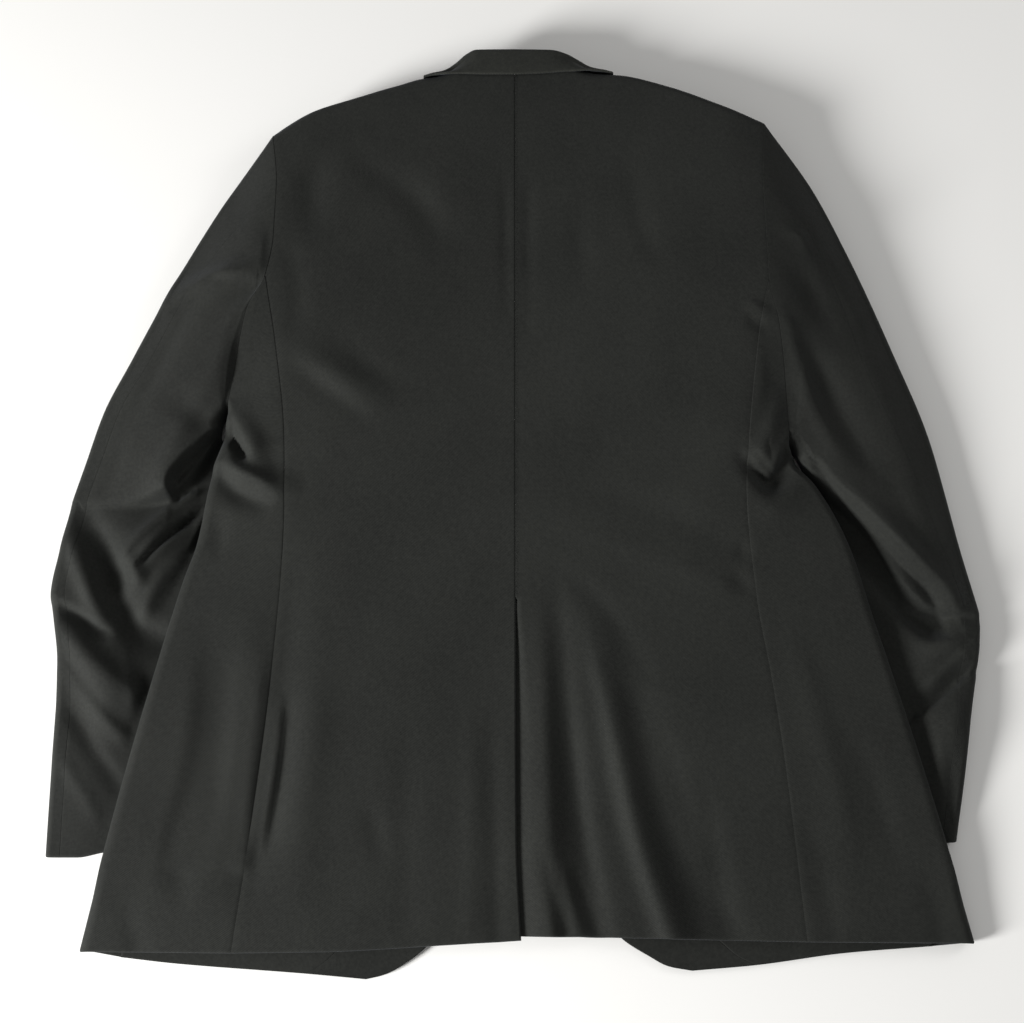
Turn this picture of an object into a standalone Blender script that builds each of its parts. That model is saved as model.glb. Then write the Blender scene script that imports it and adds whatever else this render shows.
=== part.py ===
"""Suit jacket laid flat on its front, with its back up, sewn from walls of cloth.

Lengths are in millimetres until `metres` turns them into the scene's metres. +X is to the right as the back
is looked at, +Y runs from the hem to the collar and +Z is up. The wearer's left is at -X. The origin is on
the floor, under the middle of the jacket. An upper layer (back, side panels, under sleeves) lies over a
lower one (fronts, lapels, top sleeves), and each half of the jacket is worked out from the same functions
with its own tables, because the two halves lie differently.
"""

import math

import bmesh
import bpy
import numpy as np

# Cloth and seams
WALL = 1.8
SEAM_GAP = 0.3
LAP_GAP = 0.8
CROWDED_THINNING = 0.7
CROWDED_REACH = 9.0
CLOTH_COLOUR = (0.024, 0.026, 0.025, 1.0)
BUTTON_COLOUR = (0.012, 0.012, 0.013, 1.0)

# How finely the walls are cut up: steps between the named lines
RIM_STEPS = 3
HEM_TO_UNDERARM_ROWS = 17
NECK_COLUMNS = 3
SHOULDER_COLUMNS = 7
SIDE_COLUMNS = 4
BLADE_TO_UNDERARM_STEPS = 4
FRONT_SEAM_COLUMNS = 1
FRONT_ARMHOLE_STEPS = 5
CUFF_TO_SEAM_STEPS = 3
SEAM_TO_BLADE_STEPS = 3
RING_STOPS = (
    0, 0.5, 1, 1.5, 2, 2.5, 3, 3.5, 4, 4.5, 5, 5.5, 5.85, 6, 7, 7.15, 7.5, 8, 8.5, 9, 9.5, 10, 10.5, 11
)

# Rounded edges: how far a layer turns before it meets the other one
SHOULDER_TURN = 10.0
SIDE_TURN = 8.0
POINT_SHORT = 1.2
SLEEVE_TURN = 8.0
SHOULDER_MID = 14.0
NECK_HALF = 50.0
SHOULDER_FROM = 84.0

SIDES = ("left", "right")
SIGN = {"left": -1, "right": 1}

# Centre back seam and vent: the left panel's edge laps over the right panel's underlay
CENTRE_X = 1.0
VENT_TOP = -104.0
VENT_EDGE = ((-364.0, 5.0), (-290.0, 1.6), (-140.0, 1.0), (400.0, 1.0))
UNDERLAY_WIDTH = 38.0
VENT_DROP = WALL + LAP_GAP
VENT_LIP = 1.6
VENT_STEP = (3.0, 13.0)
VENT_STEP_OVER = 120.0
VENT_COLUMNS = 3

# Plan of the seams and edges, each from the hem upwards or from the shoulder point to the underarm
SIDE_SEAM = {
    "left": ((-212, -373), (-201, -276), (-191, -169), (-185, -47), (-187, 29), (-197, 109), (-208, 168)),
    "right": ((220, -365), (209, -231), (202, -169), (193, -105), (188, -22), (191, 21), (203, 118),
              (213, 165)),
}
SIDE_FOLD = {
    "left": ((-327, -372), (-304, -256), (-289, -188), (-265, -89), (-256, -59), (-247, 0), (-240, 26),
             (-236, 54)),
    "right": ((347, -366), (320, -250), (297, -160), (285, -115), (274, -71), (264, -43), (246, -9),
              (233, 8), (226, 24)),
}
FRONT_SEAM = {
    "left": ((-296, -376), (-276, -256), (-258, -188), (-228, -59), (-217, 0), (-212, 60)),
    "right": ((316, -368), (291, -250), (262, -140), (240, -60), (217, -10), (205, 36)),
}
BACK_ARMHOLE = {
    "left": ((-210, 310), (-203, 250), (-203, 205), (-208, 168), (-222, 138), (-231, 85), (-236, 54)),
    "right": ((219, 323), (213, 245), (213, 192), (213, 165), (220, 127), (224, 82), (226, 24)),
}
FRONT_ARMHOLE = {
    "left": ((-210, 310), (-190, 250), (-176, 180), (-184, 110), (-212, 60), (-236, 54)),
    "right": ((219, 323), (199, 250), (184, 180), (188, 95), (205, 36), (226, 24)),
}
NECK_AND_SHOULDER = {
    "left": ((1, 374), (-35, 371), (-56, 367), (-76, 367), (-105, 359), (-140, 347), (-175, 334),
             (-200, 318), (-210, 310)),
    "right": ((1, 374), (40, 372), (62, 370.5), (83, 371), (93, 370.5), (137, 359), (181, 341), (219, 323)),
}
BACK_HEM = {
    "left": ((5, -364), (-64, -368), (-140, -372), (-212, -373)),
    "right": ((6, -361), (80, -362), (170, -364), (220, -365)),
}
FRONT_HEM = {
    "left": ((-296, -376), (-255, -380.5), (-156, -388), (-111, -392)),
    "right": ((316, -368), (250, -373), (181, -382), (134, -386)),
}
FRONT_EDGE = {
    "left": ((-111, -392), (-98, -389), (-78, -378), (-65, -367), (-38, -320), (-12, -240), (12, -150),
             (20, -90), (20, 70), (-8, 150), (-42, 270), (-60, 345), (-78, 368)),
    "right": ((134, -386), (117, -383), (103, -376), (80, -361), (52, -318), (20, -235), (-8, -150),
              (-20, -90), (-20, 70), (8, 150), (44, 270), (64, 345), (84, 372)),
}
FACING_SEAM_X = {"left": -157.0, "right": 182.0}
FRONT_COLUMNS_TO_FACING = 4
FRONT_COLUMNS_IN_FACING = 3
FACING_ROWS = 2
TURNED_WALL = 1.5

# The outer surface of the upper layer above the floor, by sections from hem to neck. The blade line is a
# share of the half width, and runs down the side-back seam.
#   y, blade share, at the centre, at the blade line, at the edge
BODY_SECTIONS = (
    (-376, 0.66, 11, 12, 11),
    (-330, 0.66, 12, 14, 15),
    (-270, 0.65, 14, 17, 18),
    (-200, 0.66, 17, 20, 20),
    (-130, 0.68, 20, 22, 21),
    (-60, 0.72, 24, 25, 22),
    (0, 0.75, 28, 29, 23),
    (60, 0.81, 31, 35, 28),
    (160, 0.84, 33, 41, 41),
    (250, 0.84, 34, 39, 38),
    (320, 0.84, 34, 34, 31),
    (376, 0.84, 32, 30, 27),
)

# The lower layer rests on the floor, and rises over what lies below it
TUCK_RISE = 10.2
TUCK_WIDTH = 26.0
TUCK_MARGIN = 16.0
TUCK_FROM = 4.0
TUCK_TOP_FADE = 18.0
TUCK_BELOW = 42.0
TUCK_BOTTOM_FADE = 32.0
LAPEL_RISE = 2.6
BUTTON_RISE = 4.0
LAPEL_ZONE = (112.0, 45.0)
LAPEL_ZONE_FROM_Y = 40.0
OVERLAP_HALF = 32.0
OVERLAP_FADE = 46.0
OVERLAP_Y = (-205.0, 128.0)

# Guide rings of the sleeves after the armhole ring, from the armhole to the cuff. Each runs in plan from the
# outer edge by two points to the inner edge, with the top surface's height at each. The cloth drops from
# ring 6 to ring 7, where the upper sleeve folds over the forearm.
#   outer x, y, second x, y, third x, y, inner x, y, four heights
SLEEVE_RINGS = {
    "left": (
        (-248, 255, -232, 182, -232, 118, -238, 52.5, 18, 37, 37, 28),
        (-299, 155, -268, 122, -248, 90, -239.2, 50, 16, 32, 36, 28),
        (-323, 101, -288, 88, -262, 66, -240.2, 47, 15, 28, 34, 28),
        (-342, 57, -303, 54, -270, 44, -241.2, 43.5, 14, 25, 31, 27),
        (-354, 12, -314, 12, -276, 16, -242.2, 39.5, 13, 21, 28, 26),
        (-363, -22, -319, -20, -281, -12, -243.2, 35.5, 12, 16, 25, 24),
        (-364, -28, -319, -28, -276, -22, -240, 28, 12, 13, 9, 8),
        (-369, -62, -312, -58, -257, -52, -226, -5, 13, 18, 9, 8),
        (-373, -95, -318, -92, -267, -88, -216, -70, 14, 15, 9, 8),
        (-363, -152, -320, -150, -281, -146, -212, -140, 12, 14, 9, 8),
        (-359, -303, -336, -303, -313, -299, -222, -297, 10, 10, 9, 8),
    ),
    "right": (
        (255, 272, 242, 205, 238, 120, 228.2, 23, 18, 37, 36, 26),
        (288, 198, 268, 150, 250, 92, 230, 20.4, 16, 32, 34, 26),
        (320, 110, 292, 86, 262, 56, 232, 17.4, 14, 28, 31, 26),
        (345, 32, 310, 24, 272, 16, 234, 14, 13, 26, 29, 25),
        (362, -60, 324, -52, 280, -18, 236.2, 10.2, 12, 24, 27, 24),
        (373, -114, 335, -108, 283, -40, 238.6, 6.2, 12, 19, 24, 22),
        (373, -121, 333, -116, 278, -46, 238, -3, 11, 10, 9, 8),
        (370, -146, 334, -142, 290, -122, 222, -50, 13, 15, 9, 8),
        (359, -196, 332, -190, 306, -184, 209, -130, 13, 15, 9, 8),
        (350, -245, 334, -242, 319, -240, 203, -215, 11, 12, 9, 8),
        (340, -292, 335, -292, 330, -293, 207, -300, 10, 10, 9, 8),
    ),
}
FOOT_RING = 7
ARMHOLE_RINGS = 2.0
OPEN_FROM = 1.0
OPEN_OVER = 12.0
# The hindarm seam's distance from the outer edge, ring by ring
HINDARM = {
    "left": (66, 42, 20, 18, 16, 15, 14, 14, 14, 13, 12.5, 12),
    "right": (66, 50, 42, 36, 28, 18, 14, 14, 14, 13, 12.5, 12),
}

# Folds that carry the form. Each is a soft ridge or, below zero, a trough.
#   layer, width on its left side, width on its right side, then points of x, y and height
FOLDS = (
    ("back", 9, 11, ((22, -95, 0), (24, -180, 2.5), (26, -300, 3.5), (28, -370, 4))),
    ("back", 8, 14, ((32, -66, 0), (40, -170, -3), (50, -270, -5), (68, -366, -3))),
    ("back", 16, 8, ((55, -110, 0), (74, -190, 5), (92, -280, 7), (118, -364, 6))),
    ("back", 14, 22, ((80, -140, 0), (110, -230, -3), (150, -330, -3), (170, -370, -2))),
    ("back", 14, 14, ((-190, 110, 0), (-140, 78, 3), (-100, 50, 0))),
    ("back", 16, 20, ((-176, -60, 0), (-182, -160, -3), (-196, -280, -4), (-206, -350, 0))),
    ("back", 14, 14, ((-168, 200, 0), (-172, 250, -3), (-165, 290, 0))),
    ("back", 10, 12, ((-232, 50, 2), (-212, 18, 5), (-205, -10, 0))),
    ("back", 9, 9, ((-238, 30, 0), (-222, -2, 5), (-190, -12, 3), (-170, -14, 0))),
    ("back", 20, 16, ((-235, -110, 0), (-240, -200, -3), (-256, -280, -3), (-262, -330, 0))),
    ("back", 9, 9, ((222, 70, 0), (205, 24, 5), (190, 0, 0))),
    ("back", 8, 10, ((205, 16, 0), (212, -8, -5), (226, 6, -3), (228, 16, 0))),
    ("sleeve", 14, 12, ((-206, 178, 2), (-245, 168, 6), (-292, 156, 3))),
    ("sleeve", 12, 14, ((-246, 28, 0), (-262, 50, -3), (-292, 70, 0))),
    ("sleeve", 9, 12, ((-252, 8, 0), (-290, -50, 5), (-322, -88, 0))),
    ("sleeve", 12, 10, ((-262, -40, 0), (-296, -78, 5), (-320, -112, 2), (-330, -140, 0))),
    ("sleeve", 14, 14, ((-366, -48, 0), (-340, -52, -3), (-322, -76, -4), (-306, -120, -3),
                        (-296, -160, 0))),
    ("sleeve", 14, 10, ((-370, -108, 2), (-346, -140, 4), (-322, -178, 4), (-300, -206, 0))),
    ("sleeve", 10, 14, ((-352, -160, 0), (-338, -196, -3), (-316, -226, 0))),
    ("sleeve", 12, 12, ((226, 196, 0), (252, 150, -4), (276, 96, 0))),
    ("sleeve", 14, 12, ((232, 150, 0), (256, 80, -5), (290, 16, -3), (320, -20, 0))),
    ("sleeve", 10, 12, ((372, -120, 2), (350, -136, 5), (320, -146, 0))),
    ("sleeve", 9, 10, ((360, -170, 0), (342, -205, 4), (334, -250, 0))),
)
FOLD_SAMPLES = 24

# Lapels and the collar's front ends lie flat on the floor, below the fronts: pairs of points from the roll
# line out to the free edge, from the bottom up, for the left half
LAPEL = (
    ((-1.5, 104), (-3, 102)), ((-4, 120), (-36, 134)), ((-18, 172), (-78, 192)), ((-36, 240), (-110, 236)),
    ((-48, 285), (-86, 258)),
)
COLLAR_END = (
    ((-49, 288), (-87, 261)), ((-54, 310), (-97, 284)), ((-58, 332), (-93, 318)), ((-60, 350), (-84, 346)),
)
FLAT_STEPS = 3

# Collar leaf over the back of the neck, from the wearer's left to the right
#   edge x, y, roll x, y, roll height
COLLAR_LEAF = (
    (-71, 365.4, -72, 371.6, 21),
    (-59, 365, -61.5, 374.6, 23),
    (-47, 364.8, -51, 381, 25),
    (-36, 364.4, -42, 388.4, 27),
    (-26, 364, -32, 392, 28.5),
    (0, 364, 0, 392, 29),
    (23, 365, 32, 391.8, 28.5),
    (41, 366.6, 46.5, 388.8, 27),
    (55, 367.6, 57, 383.8, 25),
    (66, 368.8, 68.5, 377.8, 23),
    (78, 369.4, 80.5, 374.6, 21),
)
LEAF_LIFT = WALL + 1.2
LEAF_TURN = 6.0
LEAF_BEND = 1.7
ROLL_HALF = 4.4
LEAF_ROWS = 3
STAND_ROWS = 2
STAND_END_Y = 375.5
STAND_LEAST = 4.0
STAND_RISE = 3.5

# Buttons: on the floor side of the left front
BUTTON_RADIUS = 10.0
BUTTON_HEIGHT = 3.2
BUTTON_AT = {"button_upper": (1.0, 62.0), "button_lower": (1.0, -48.0)}
BUTTON_EDGE = 0.8
BUTTON_SIDES = 24


def metres(points):
    return np.asarray(points, float) / 1000.0


def smooth_step(t):
    t = np.clip(t, 0.0, 1.0)
    return t * t * (3.0 - 2.0 * t)


def slopes(knots, values):
    """Slopes of a curve through the values that doesn't overshoot them."""
    step = np.diff(knots)
    rise = np.diff(values, axis=0) / step[:, None]
    out = np.zeros_like(values)
    out[0], out[-1] = rise[0], rise[-1]
    for k in range(1, len(knots) - 1):
        a, b = rise[k - 1], rise[k]
        same = a * b > 0
        safe = np.where(same, a + b, 1.0)
        out[k] = np.where(same, 2 * a * b / safe, 0.0)
    return out


def through(knots, values, at):
    """Reads the smooth curve through rows of values at one place or many."""
    knots = np.asarray(knots, float)
    values = np.asarray(values, float)
    flat = values.ndim == 1
    if flat:
        values = values[:, None]
    m = slopes(knots, values)
    at = np.clip(np.asarray(at, float), knots[0], knots[-1])
    k = np.clip(np.searchsorted(knots, at, side="right") - 1, 0, len(knots) - 2)
    h = (knots[k + 1] - knots[k])[..., None]
    t = (at - knots[k])[..., None] / h
    out = (
        (2 * t**3 - 3 * t**2 + 1) * values[k]
        + (t**3 - 2 * t**2 + t) * h * m[k]
        + (3 * t**2 - 2 * t**3) * values[k + 1]
        + (t**3 - t**2) * h * m[k + 1]
    )
    return out[..., 0] if flat else out


def lengths(points):
    """How far along a line each of its points lies."""
    points = np.asarray(points, float)
    return np.concatenate([[0.0], np.cumsum(np.linalg.norm(np.diff(points, axis=0), axis=1))])


def along(line, share):
    """Points of a seam line at shares of its length."""
    reach = lengths(line)
    return through(reach, line, np.asarray(share, float) * reach[-1])


def share_of_y(line, y):
    """The share of a seam line's length at which it passes a height."""
    shares = np.linspace(0.0, 1.0, 400)
    return float(shares[np.argmin(np.abs(along(line, shares)[:, 1] - y))])


def quarter(edge, top, turn):
    """A point on the quarter round from an edge's mid height to a layer's surface, at a turn in radians."""
    edge, top = np.asarray(edge, float), np.asarray(top, float)
    point = edge + (top - edge) * (1.0 - math.cos(turn))
    point[..., 2] = edge[..., 2] + (top[..., 2] - edge[..., 2]) * math.sin(turn)
    return point


def rim_turns():
    """The turns of the points between a rounded edge and the flat, both left out."""
    return [0.5 * math.pi * k / RIM_STEPS for k in range(1, RIM_STEPS)]


def folds(layer, x, y):
    """Height that the folds of a layer add at places in plan."""
    total = np.zeros_like(x)
    for name, left, right, points in FOLDS:
        if name != layer:
            continue
        line = along_with_height(points)
        nearest = np.full(x.shape, 1e9)
        lift = np.zeros_like(x)
        for a, b in zip(line[:-1], line[1:]):
            run = b[:2] - a[:2]
            t = np.clip(((x - a[0]) * run[0] + (y - a[1]) * run[1]) / (run @ run), 0.0, 1.0)
            dx, dy = x - a[0] - t * run[0], y - a[1] - t * run[1]
            far = np.hypot(dx, dy)
            width = np.where(run[0] * dy - run[1] * dx > 0, left, right)
            here = (a[2] + t * (b[2] - a[2])) * np.exp(-((far / width) ** 2))
            lift = np.where(far < nearest, here, lift)
            nearest = np.minimum(far, nearest)
        total += lift
    return total


def along_with_height(points):
    reach = lengths(np.asarray(points, float)[:, :2])
    return through(reach, points, np.linspace(0.0, reach[-1], FOLD_SAMPLES))


def edge_x(side, y):
    """Where the body's half ends in plan: the side fold, and above it the armhole seam."""
    line = np.asarray(SIDE_FOLD[side] + tuple(reversed(BACK_ARMHOLE[side]))[1:], float)
    return through(line[:, 1], line[:, 0], y)


def body_top(x, y, with_folds=True):
    """Height of the upper layer's outer surface over the body."""
    x, y = np.asarray(x, float), np.asarray(y, float)
    sections = np.asarray(BODY_SECTIONS, float)
    blade, centre, at_blade, at_edge = np.moveaxis(through(sections[:, 0], sections[:, 1:], y), -1, 0)
    reach = np.where(x < CENTRE_X, CENTRE_X - edge_x("left", y), edge_x("right", y) - CENTRE_X)
    t = np.clip(np.abs(x - CENTRE_X) / reach, 0.0, 1.0)
    first, last = (at_blade - centre) / blade, (at_edge - at_blade) / (1.0 - blade)
    same = first * last > 0
    middle = np.where(same, 2 * first * last / np.where(same, first + last, 1.0), 0.0)
    inner = hermite(t / blade, blade, centre, at_blade, 0.0, middle)
    outer = hermite((t - blade) / (1.0 - blade), 1.0 - blade, at_blade, at_edge, middle, last)
    z = np.where(t < blade, inner, outer)
    return z + folds("back", x, y) if with_folds else z


def hermite(t, width, a, b, slope_a, slope_b):
    t = np.clip(t, 0.0, 1.0)
    return (
        (2 * t**3 - 3 * t**2 + 1) * a
        + (t**3 - 2 * t**2 + t) * width * slope_a
        + (3 * t**2 - 2 * t**3) * b
        + (t**3 - t**2) * width * slope_b
    )


def body_floor(side, x, y):
    """Height of the lower layer's outer surface, which faces the floor."""
    x, y = np.asarray(x, float), np.asarray(y, float)
    inner = inner_edge(side)
    order = np.argsort(inner[:, 1])
    sleeve_x = np.abs(through(inner[order, 1], inner[order, 0], y))
    top, bottom = SIDE_FOLD[side][-1][1], inner[:, 1].min()
    over = smooth_step((np.abs(x) - (sleeve_x - TUCK_MARGIN - TUCK_WIDTH)) / TUCK_WIDTH)
    over = over * smooth_step((top - TUCK_FROM - y) / TUCK_TOP_FADE)
    over = over * smooth_step((y - bottom + TUCK_BELOW) / TUCK_BOTTOM_FADE)
    reach, fade = LAPEL_ZONE
    lapel = smooth_step((reach + fade - np.abs(x)) / fade)
    lapel = lapel * smooth_step((y - LAPEL_ZONE_FROM_Y + fade) / fade)
    low, high = OVERLAP_Y
    middle = smooth_step((OVERLAP_HALF + OVERLAP_FADE - np.abs(x)) / OVERLAP_FADE)
    middle = middle * smooth_step((y - low + OVERLAP_FADE) / OVERLAP_FADE)
    middle = middle * smooth_step((high + OVERLAP_FADE - y) / OVERLAP_FADE)
    if side == "right":
        lap = WALL + 2 * SEAM_GAP
        inside = smooth_step((OVERLAP_HALF + OVERLAP_FADE - x) / OVERLAP_FADE)
        level = np.maximum(LAPEL_RISE * lapel, (BUTTON_RISE + lap) * middle)
        level = np.maximum(level, (LAPEL_RISE + lap) * lapel * inside)
    else:
        level = np.maximum(LAPEL_RISE * lapel, BUTTON_RISE * middle)
    return np.maximum(level, TUCK_RISE * over)


def inner_edge(side):
    """The forearm's inner edge in plan, under the body."""
    return np.asarray([ring[6:8] for ring in SLEEVE_RINGS[side][FOOT_RING - 1:]], float)


def coons(bottom, top, inner, outer, across, upward):
    """Plan of a panel from its four edges: rows of bottom to top, columns of inner to outer."""
    u = np.asarray(across, float)[None, :, None]
    v = np.asarray(upward, float)[:, None, None]
    bottom, top, inner, outer = (np.asarray(e, float) for e in (bottom, top, inner, outer))
    corners = (
        (1 - u) * (1 - v) * bottom[0]
        + u * (1 - v) * bottom[-1]
        + (1 - u) * v * top[0]
        + u * v * top[-1]
    )
    return (1 - v) * bottom[None] + v * top[None] + (1 - u) * inner[:, None] + u * outer[:, None] - corners


def with_height(plan, height):
    plan = np.asarray(plan, float)
    return np.concatenate([plan, np.asarray(height, float)[..., None]], axis=-1)


class Armhole:
    """The armhole loop of one side, from the shoulder point over the back to the underarm and back below."""

    def __init__(self, side):
        self.side = side
        upper, lower = BACK_ARMHOLE[side], FRONT_ARMHOLE[side]
        self.upper_length, self.lower_length = lengths(upper)[-1], lengths(lower)[-1]
        blade = share_of_y(upper, SIDE_SEAM[side][-1][1]) * self.upper_length
        front = share_of_y(lower, FRONT_SEAM[side][-1][1]) * self.lower_length
        seam = HINDARM[side][0]
        stops = (SHOULDER_TURN, seam, blade, self.upper_length - SIDE_TURN)
        steps = (CUFF_TO_SEAM_STEPS, SEAM_TO_BLADE_STEPS, BLADE_TO_UNDERARM_STEPS)
        self.upper = stations_between(stops, steps) / self.upper_length
        stops = (self.lower_length - SIDE_TURN, front, SHOULDER_TURN)
        self.lower = stations_between(stops, (FRONT_SEAM_COLUMNS, FRONT_ARMHOLE_STEPS)) / self.lower_length
        self.shoulder = np.append(upper[0], SHOULDER_MID)
        top = body_top(*along(upper, self.upper[-1]))
        low = body_floor(side, *along(lower, self.lower[0]))
        self.under = np.append(upper[-1], 0.5 * (top + low))

    def above(self):
        """The back's stretch: the shoulder point, its rim, the stations, the underarm's rim and point."""
        plan = along(BACK_ARMHOLE[self.side], self.upper)
        points = with_height(plan, body_top(plan[:, 0], plan[:, 1]))
        first = [quarter(self.shoulder, points[0], turn) for turn in rim_turns()]
        last = [quarter(self.under, points[-1], turn) for turn in reversed(rim_turns())]
        return np.array([self.shoulder, *first, *points, *last, self.under])

    def below(self):
        """The front's stretch, from the underarm back to the shoulder point, both left out."""
        plan = along(FRONT_ARMHOLE[self.side], self.lower)
        points = with_height(plan, body_floor(self.side, plan[:, 0], plan[:, 1]))
        first = [quarter(self.under, points[0], turn) for turn in rim_turns()]
        last = [quarter(self.shoulder, points[-1], turn) for turn in reversed(rim_turns())]
        return np.array([*first, *points, *last])


def vent_edge(y):
    line = np.asarray(VENT_EDGE)
    return through(line[:, 0], line[:, 1], y)


def top_stations(side):
    """Shares of the neck and shoulder line at the back panel's columns."""
    line = NECK_AND_SHOULDER[side]
    reach = lengths(line)
    neck = reach[3] / reach[-1]
    return np.concatenate(
        [np.linspace(0.0, neck, NECK_COLUMNS + 1), np.linspace(neck, 1.0, SHOULDER_COLUMNS + 1)[1:]]
    )


def shoulder_edge(side):
    """The back's top edge: level at the neck, falling to mid height along the shoulder."""
    plan = along(NECK_AND_SHOULDER[side], top_stations(side))
    level = body_top(plan[:, 0], plan[:, 1])
    at_shoulder = smooth_step((np.abs(plan[:, 0]) - NECK_HALF) / (SHOULDER_FROM - NECK_HALF))
    return with_height(plan, level + at_shoulder * (SHOULDER_MID - level))


def inside_of(line_points, distance):
    """Plan points moved down from the shoulder line, square to it."""
    run = np.gradient(np.asarray(line_points, float), axis=0)
    square = np.stack([run[:, 1], -run[:, 0]], axis=1)
    square *= np.where(square[:, 1:] > 0, -1.0, 1.0)
    return line_points + distance * square / np.linalg.norm(square, axis=1)[:, None]


def side_seam_rows(side, armhole):
    """Plan of the side-back seam's rows, from the hem to the armhole."""
    line = SIDE_SEAM[side]
    blade = RIM_STEPS + CUFF_TO_SEAM_STEPS + SEAM_TO_BLADE_STEPS
    stations = armhole.above()[blade:blade + BLADE_TO_UNDERARM_STEPS + 1, :2][::-1]
    level = share_of_y(line, stations[0, 1])
    below = along(line, np.linspace(0.0, level, HEM_TO_UNDERARM_ROWS + 1))
    above = [along(line, share_of_y(line, y)) for y in stations[1:-1, 1]]
    return np.array([*below, *above, stations[-1]])


def back_panel(side, armhole):
    """Outer points of a back panel, its rows from the hem up and its columns from the centre out."""
    top_edge = shoulder_edge(side)
    top = inside_of(top_edge[:, :2], SHOULDER_TURN)
    arm = armhole.above()
    count = CUFF_TO_SEAM_STEPS + SEAM_TO_BLADE_STEPS
    arm_up = arm[RIM_STEPS:RIM_STEPS + count + 1][::-1]
    top[-1] = arm_up[-1, :2]
    seam = side_seam_rows(side, armhole)
    outer = np.concatenate([seam, arm_up[1:, :2]])
    upward = lengths(outer) / lengths(outer)[-1]
    hem_y = BACK_HEM[side][0][1]
    centre_y = hem_y + (top[0, 1] - hem_y) * upward
    inner = np.stack([vent_edge(centre_y), centre_y], axis=1)
    top[0, 0] = inner[-1, 0]
    across = np.abs(top[:, 0] - top[0, 0]) / abs(top[-1, 0] - top[0, 0])
    bottom = along(BACK_HEM[side], across)
    bottom[0] = inner[0]
    plan = coons(bottom, top, inner, outer, across, upward)
    surface = with_height(plan, body_top(plan[..., 0], plan[..., 1]))
    surface[len(seam) - 1:, -1] = arm_up
    rims = [quarter(top_edge, surface[-1], turn) for turn in reversed(rim_turns())]
    grid = np.concatenate([surface, np.array(rims), top_edge[None]])
    for k in range(RIM_STEPS + 1):
        grid[-1 - k, -1] = arm[k]
        grid[-1 - k, 0, 0] = CENTRE_X
    return grid


def right_back_with_vent(grid):
    """Adds the vent's underlay to the right back: it steps down and runs on below the left panel."""
    rows, columns = grid.shape[:2]
    y = grid[:, 0, 1]
    edge = vent_edge(y)
    near, far = VENT_STEP
    step = near + (far - near) * smooth_step((VENT_TOP - y) / VENT_STEP_OVER)
    wide = np.zeros((rows, columns + VENT_COLUMNS, 3))
    wide[:, VENT_COLUMNS:] = grid
    wide[:, :VENT_COLUMNS] = grid[:, :1]
    wide[:, VENT_COLUMNS] = 0.5 * (grid[:, 0] + grid[:, 1])
    for i in np.flatnonzero(y < VENT_TOP):
        x = edge[i] + np.array([-UNDERLAY_WIDTH, -0.5 * UNDERLAY_WIDTH, VENT_LIP, step[i]])
        drop = VENT_DROP * np.array([1.0, 1.0, 1.0, 0.0])
        plan = np.stack([x, np.full(x.shape, y[i])], axis=1)
        wide[i, :VENT_COLUMNS + 1] = with_height(plan, body_top(x, plan[:, 1]) - drop)
    cells = np.ones((rows - 1, columns + VENT_COLUMNS - 1), bool)
    cells[y[1:] >= VENT_TOP, :VENT_COLUMNS - 1] = False
    return wide, cells


def side_panel(side, armhole):
    """Outer points and cells of a side panel: from the side-back seam round the fold to the front seam."""
    shares = np.linspace(0.0, 1.0, HEM_TO_UNDERARM_ROWS + 1)
    seam = side_seam_rows(side, armhole)
    fold = along(SIDE_FOLD[side], shares)
    front = along(FRONT_SEAM[side], shares)
    turn_in = np.array([SIGN[side] * SIDE_TURN, 0.0])
    arm, low = armhole.above(), armhole.below()
    blade = RIM_STEPS + CUFF_TO_SEAM_STEPS + SEAM_TO_BLADE_STEPS
    stations = arm[blade:blade + BLADE_TO_UNDERARM_STEPS + 1][::-1]
    ends = np.concatenate([(fold - turn_in)[:-1], stations[:, :2]])
    seam[-1] = ends[-1] = seam[-1] - np.array([0.0, POINT_SHORT])
    across = np.linspace(0.0, 1.0, SIDE_COLUMNS + 1)[None, :, None]
    plan = seam[:, None] * (1 - across) + ends[:, None] * across
    upper = with_height(plan, body_top(plan[..., 0], plan[..., 1]))
    upper[HEM_TO_UNDERARM_ROWS:-1, -1] = stations[:-1]
    arm_low = low[RIM_STEPS - 1:RIM_STEPS + FRONT_SEAM_COLUMNS]
    starts = fold - turn_in
    starts[-1] = arm_low[0, :2]
    across = np.linspace(0.0, 1.0, FRONT_SEAM_COLUMNS + 1)[None, :, None]
    plan = starts[:, None] * (1 - across) + front[:, None] * across
    lower = with_height(plan, body_floor(side, plan[..., 0], plan[..., 1]))
    lower[-1] = arm_low
    over = upper[:HEM_TO_UNDERARM_ROWS + 1]
    edge = with_height(fold, 0.5 * (over[:, -1, 2] + lower[:, 0, 2]))
    edge[-1] = armhole.under
    round_up = [quarter(edge, over[:, -1], turn) for turn in reversed(rim_turns())]
    round_down = [quarter(edge, lower[:, 0], turn) for turn in rim_turns()]
    round_up, round_down = np.stack(round_up, axis=1), np.stack(round_down, axis=1)
    grid = np.concatenate([over, round_up, edge[:, None], round_down, lower], axis=1)
    start = blade + BLADE_TO_UNDERARM_STEPS
    grid[-1, SIDE_COLUMNS:] = np.concatenate([arm[start:], low[:RIM_STEPS + FRONT_SEAM_COLUMNS]])
    gusset = np.repeat(upper[HEM_TO_UNDERARM_ROWS + 1:, -1:], grid.shape[1], axis=1)
    gusset[:, :SIDE_COLUMNS + 1] = upper[HEM_TO_UNDERARM_ROWS + 1:]
    grid = np.concatenate([grid, gusset])
    cells = np.ones((grid.shape[0] - 1, grid.shape[1] - 1), bool)
    cells[HEM_TO_UNDERARM_ROWS:, SIDE_COLUMNS:] = False
    return grid, cells


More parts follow.
